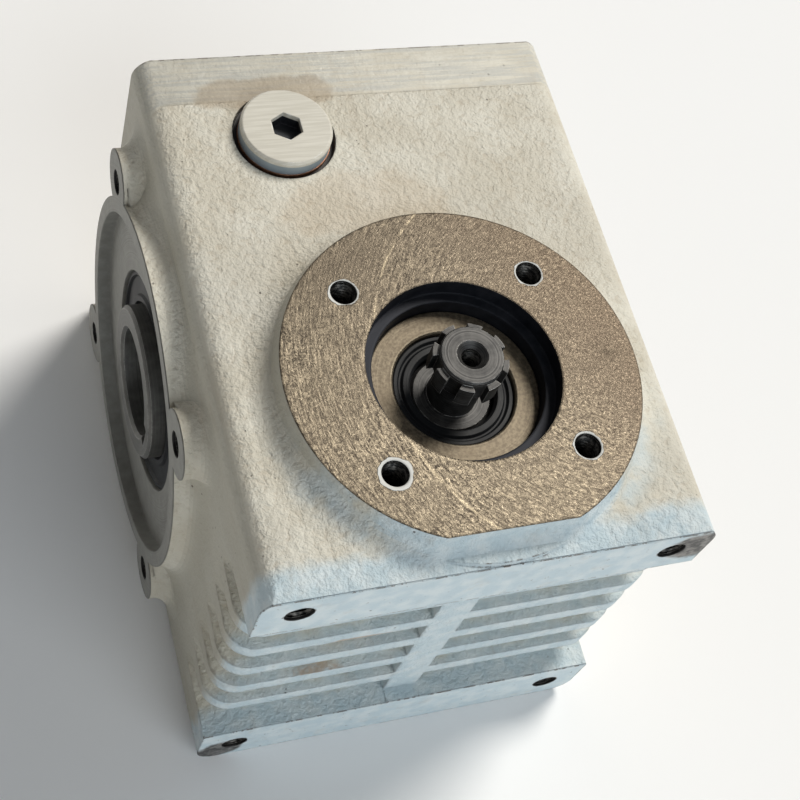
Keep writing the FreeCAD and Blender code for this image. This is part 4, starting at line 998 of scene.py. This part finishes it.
threads("right_pad_threads", "case", oily, right_mouths, HOLE_RADIUS, HOLE_PITCH, 9 * MM)
threads("foot_threads", "case", oily, foot_mouths, FOOT_HOLE_RADIUS, HOLE_PITCH, 14 * MM)
shaft_mouth = (0, WORM_Y, SHAFT_END - 2.6 * MM)
threads("shaft_thread", "worm", oily, [(shaft_mouth, (0, 0, -1))], 3 * MM, 1 * MM, 11 * MM)

# plain pale floor under the part's back face
floor_mesh = bpy.data.meshes.new("floor")
floor_half = 30.0
floor_corners = [(a * floor_half, b * floor_half, 0) for a, b in ((-1, -1), (1, -1), (1, 1), (-1, 1))]
floor_mesh.from_pydata(floor_corners, [], [(0, 1, 2, 3)])
floor = bpy.data.objects.new("floor", floor_mesh)
floor.location.z = cad_box[0].z - 0.05 * MM
bpy.context.scene.collection.objects.link(floor)
pale = bpy.data.materials.new("floor_pale")
pale.use_nodes = True
pale_shader = pale.node_tree.nodes["Principled BSDF"]
pale_shader.inputs["Base Color"].default_value = (0.92, 0.92, 0.92, 1)
pale_shader.inputs["Roughness"].default_value = 0.9
floor_mesh.materials.append(pale)

# camera, fitted to the photograph
camera_data = bpy.data.cameras.new("camera")
camera_data.sensor_width = 36.0
camera_data.lens = 71.50
camera_data.clip_start = 0.01
camera = bpy.data.objects.new("camera", camera_data)
bpy.context.scene.collection.objects.link(camera)
camera_right = Vector((0.93703, -0.25703, 0.23646)).normalized()
camera_back = Vector((-0.32798, -0.41495, 0.84867)).normalized()
camera_up = camera_back.cross(camera_right)
camera_right = camera_up.cross(camera_back)
camera_place = Vector((-0.16640, -0.24023, 0.45337))
camera_turn = Matrix((camera_right, camera_up, camera_back)).transposed()
camera.matrix_world = Matrix.Translation(camera_place) @ camera_turn.to_4x4()
bpy.context.scene.camera = camera


def soft_sun(name, direction, power, softness, colour):
    """A far light with soft shadows that comes from a direction."""
    data = bpy.data.lights.new(name, "SUN")
    data.energy = power
    data.angle = math.radians(softness)
    data.color = colour
    lamp = bpy.data.objects.new(name, data)
    lamp.rotation_euler = (-Vector(direction)).to_track_quat("-Z", "Y").to_euler()
    bpy.context.scene.collection.objects.link(lamp)


soft_sun("key", (0.62, 0.42, 0.80), 2.75, 22, (1.0, 0.965, 0.905))
soft_sun("fill", (0.22, -0.85, 0.42), 1.50, 60, (0.88, 0.95, 1.0))
world = bpy.data.worlds.new("studio")
world.use_nodes = True
background = world.node_tree.nodes["Background"]
background.inputs["Color"].default_value = (1.0, 1.0, 1.0, 1)
background.inputs["Strength"].default_value = 0.16
bpy.context.scene.world = world
bpy.context.scene.view_settings.view_transform = "Standard"
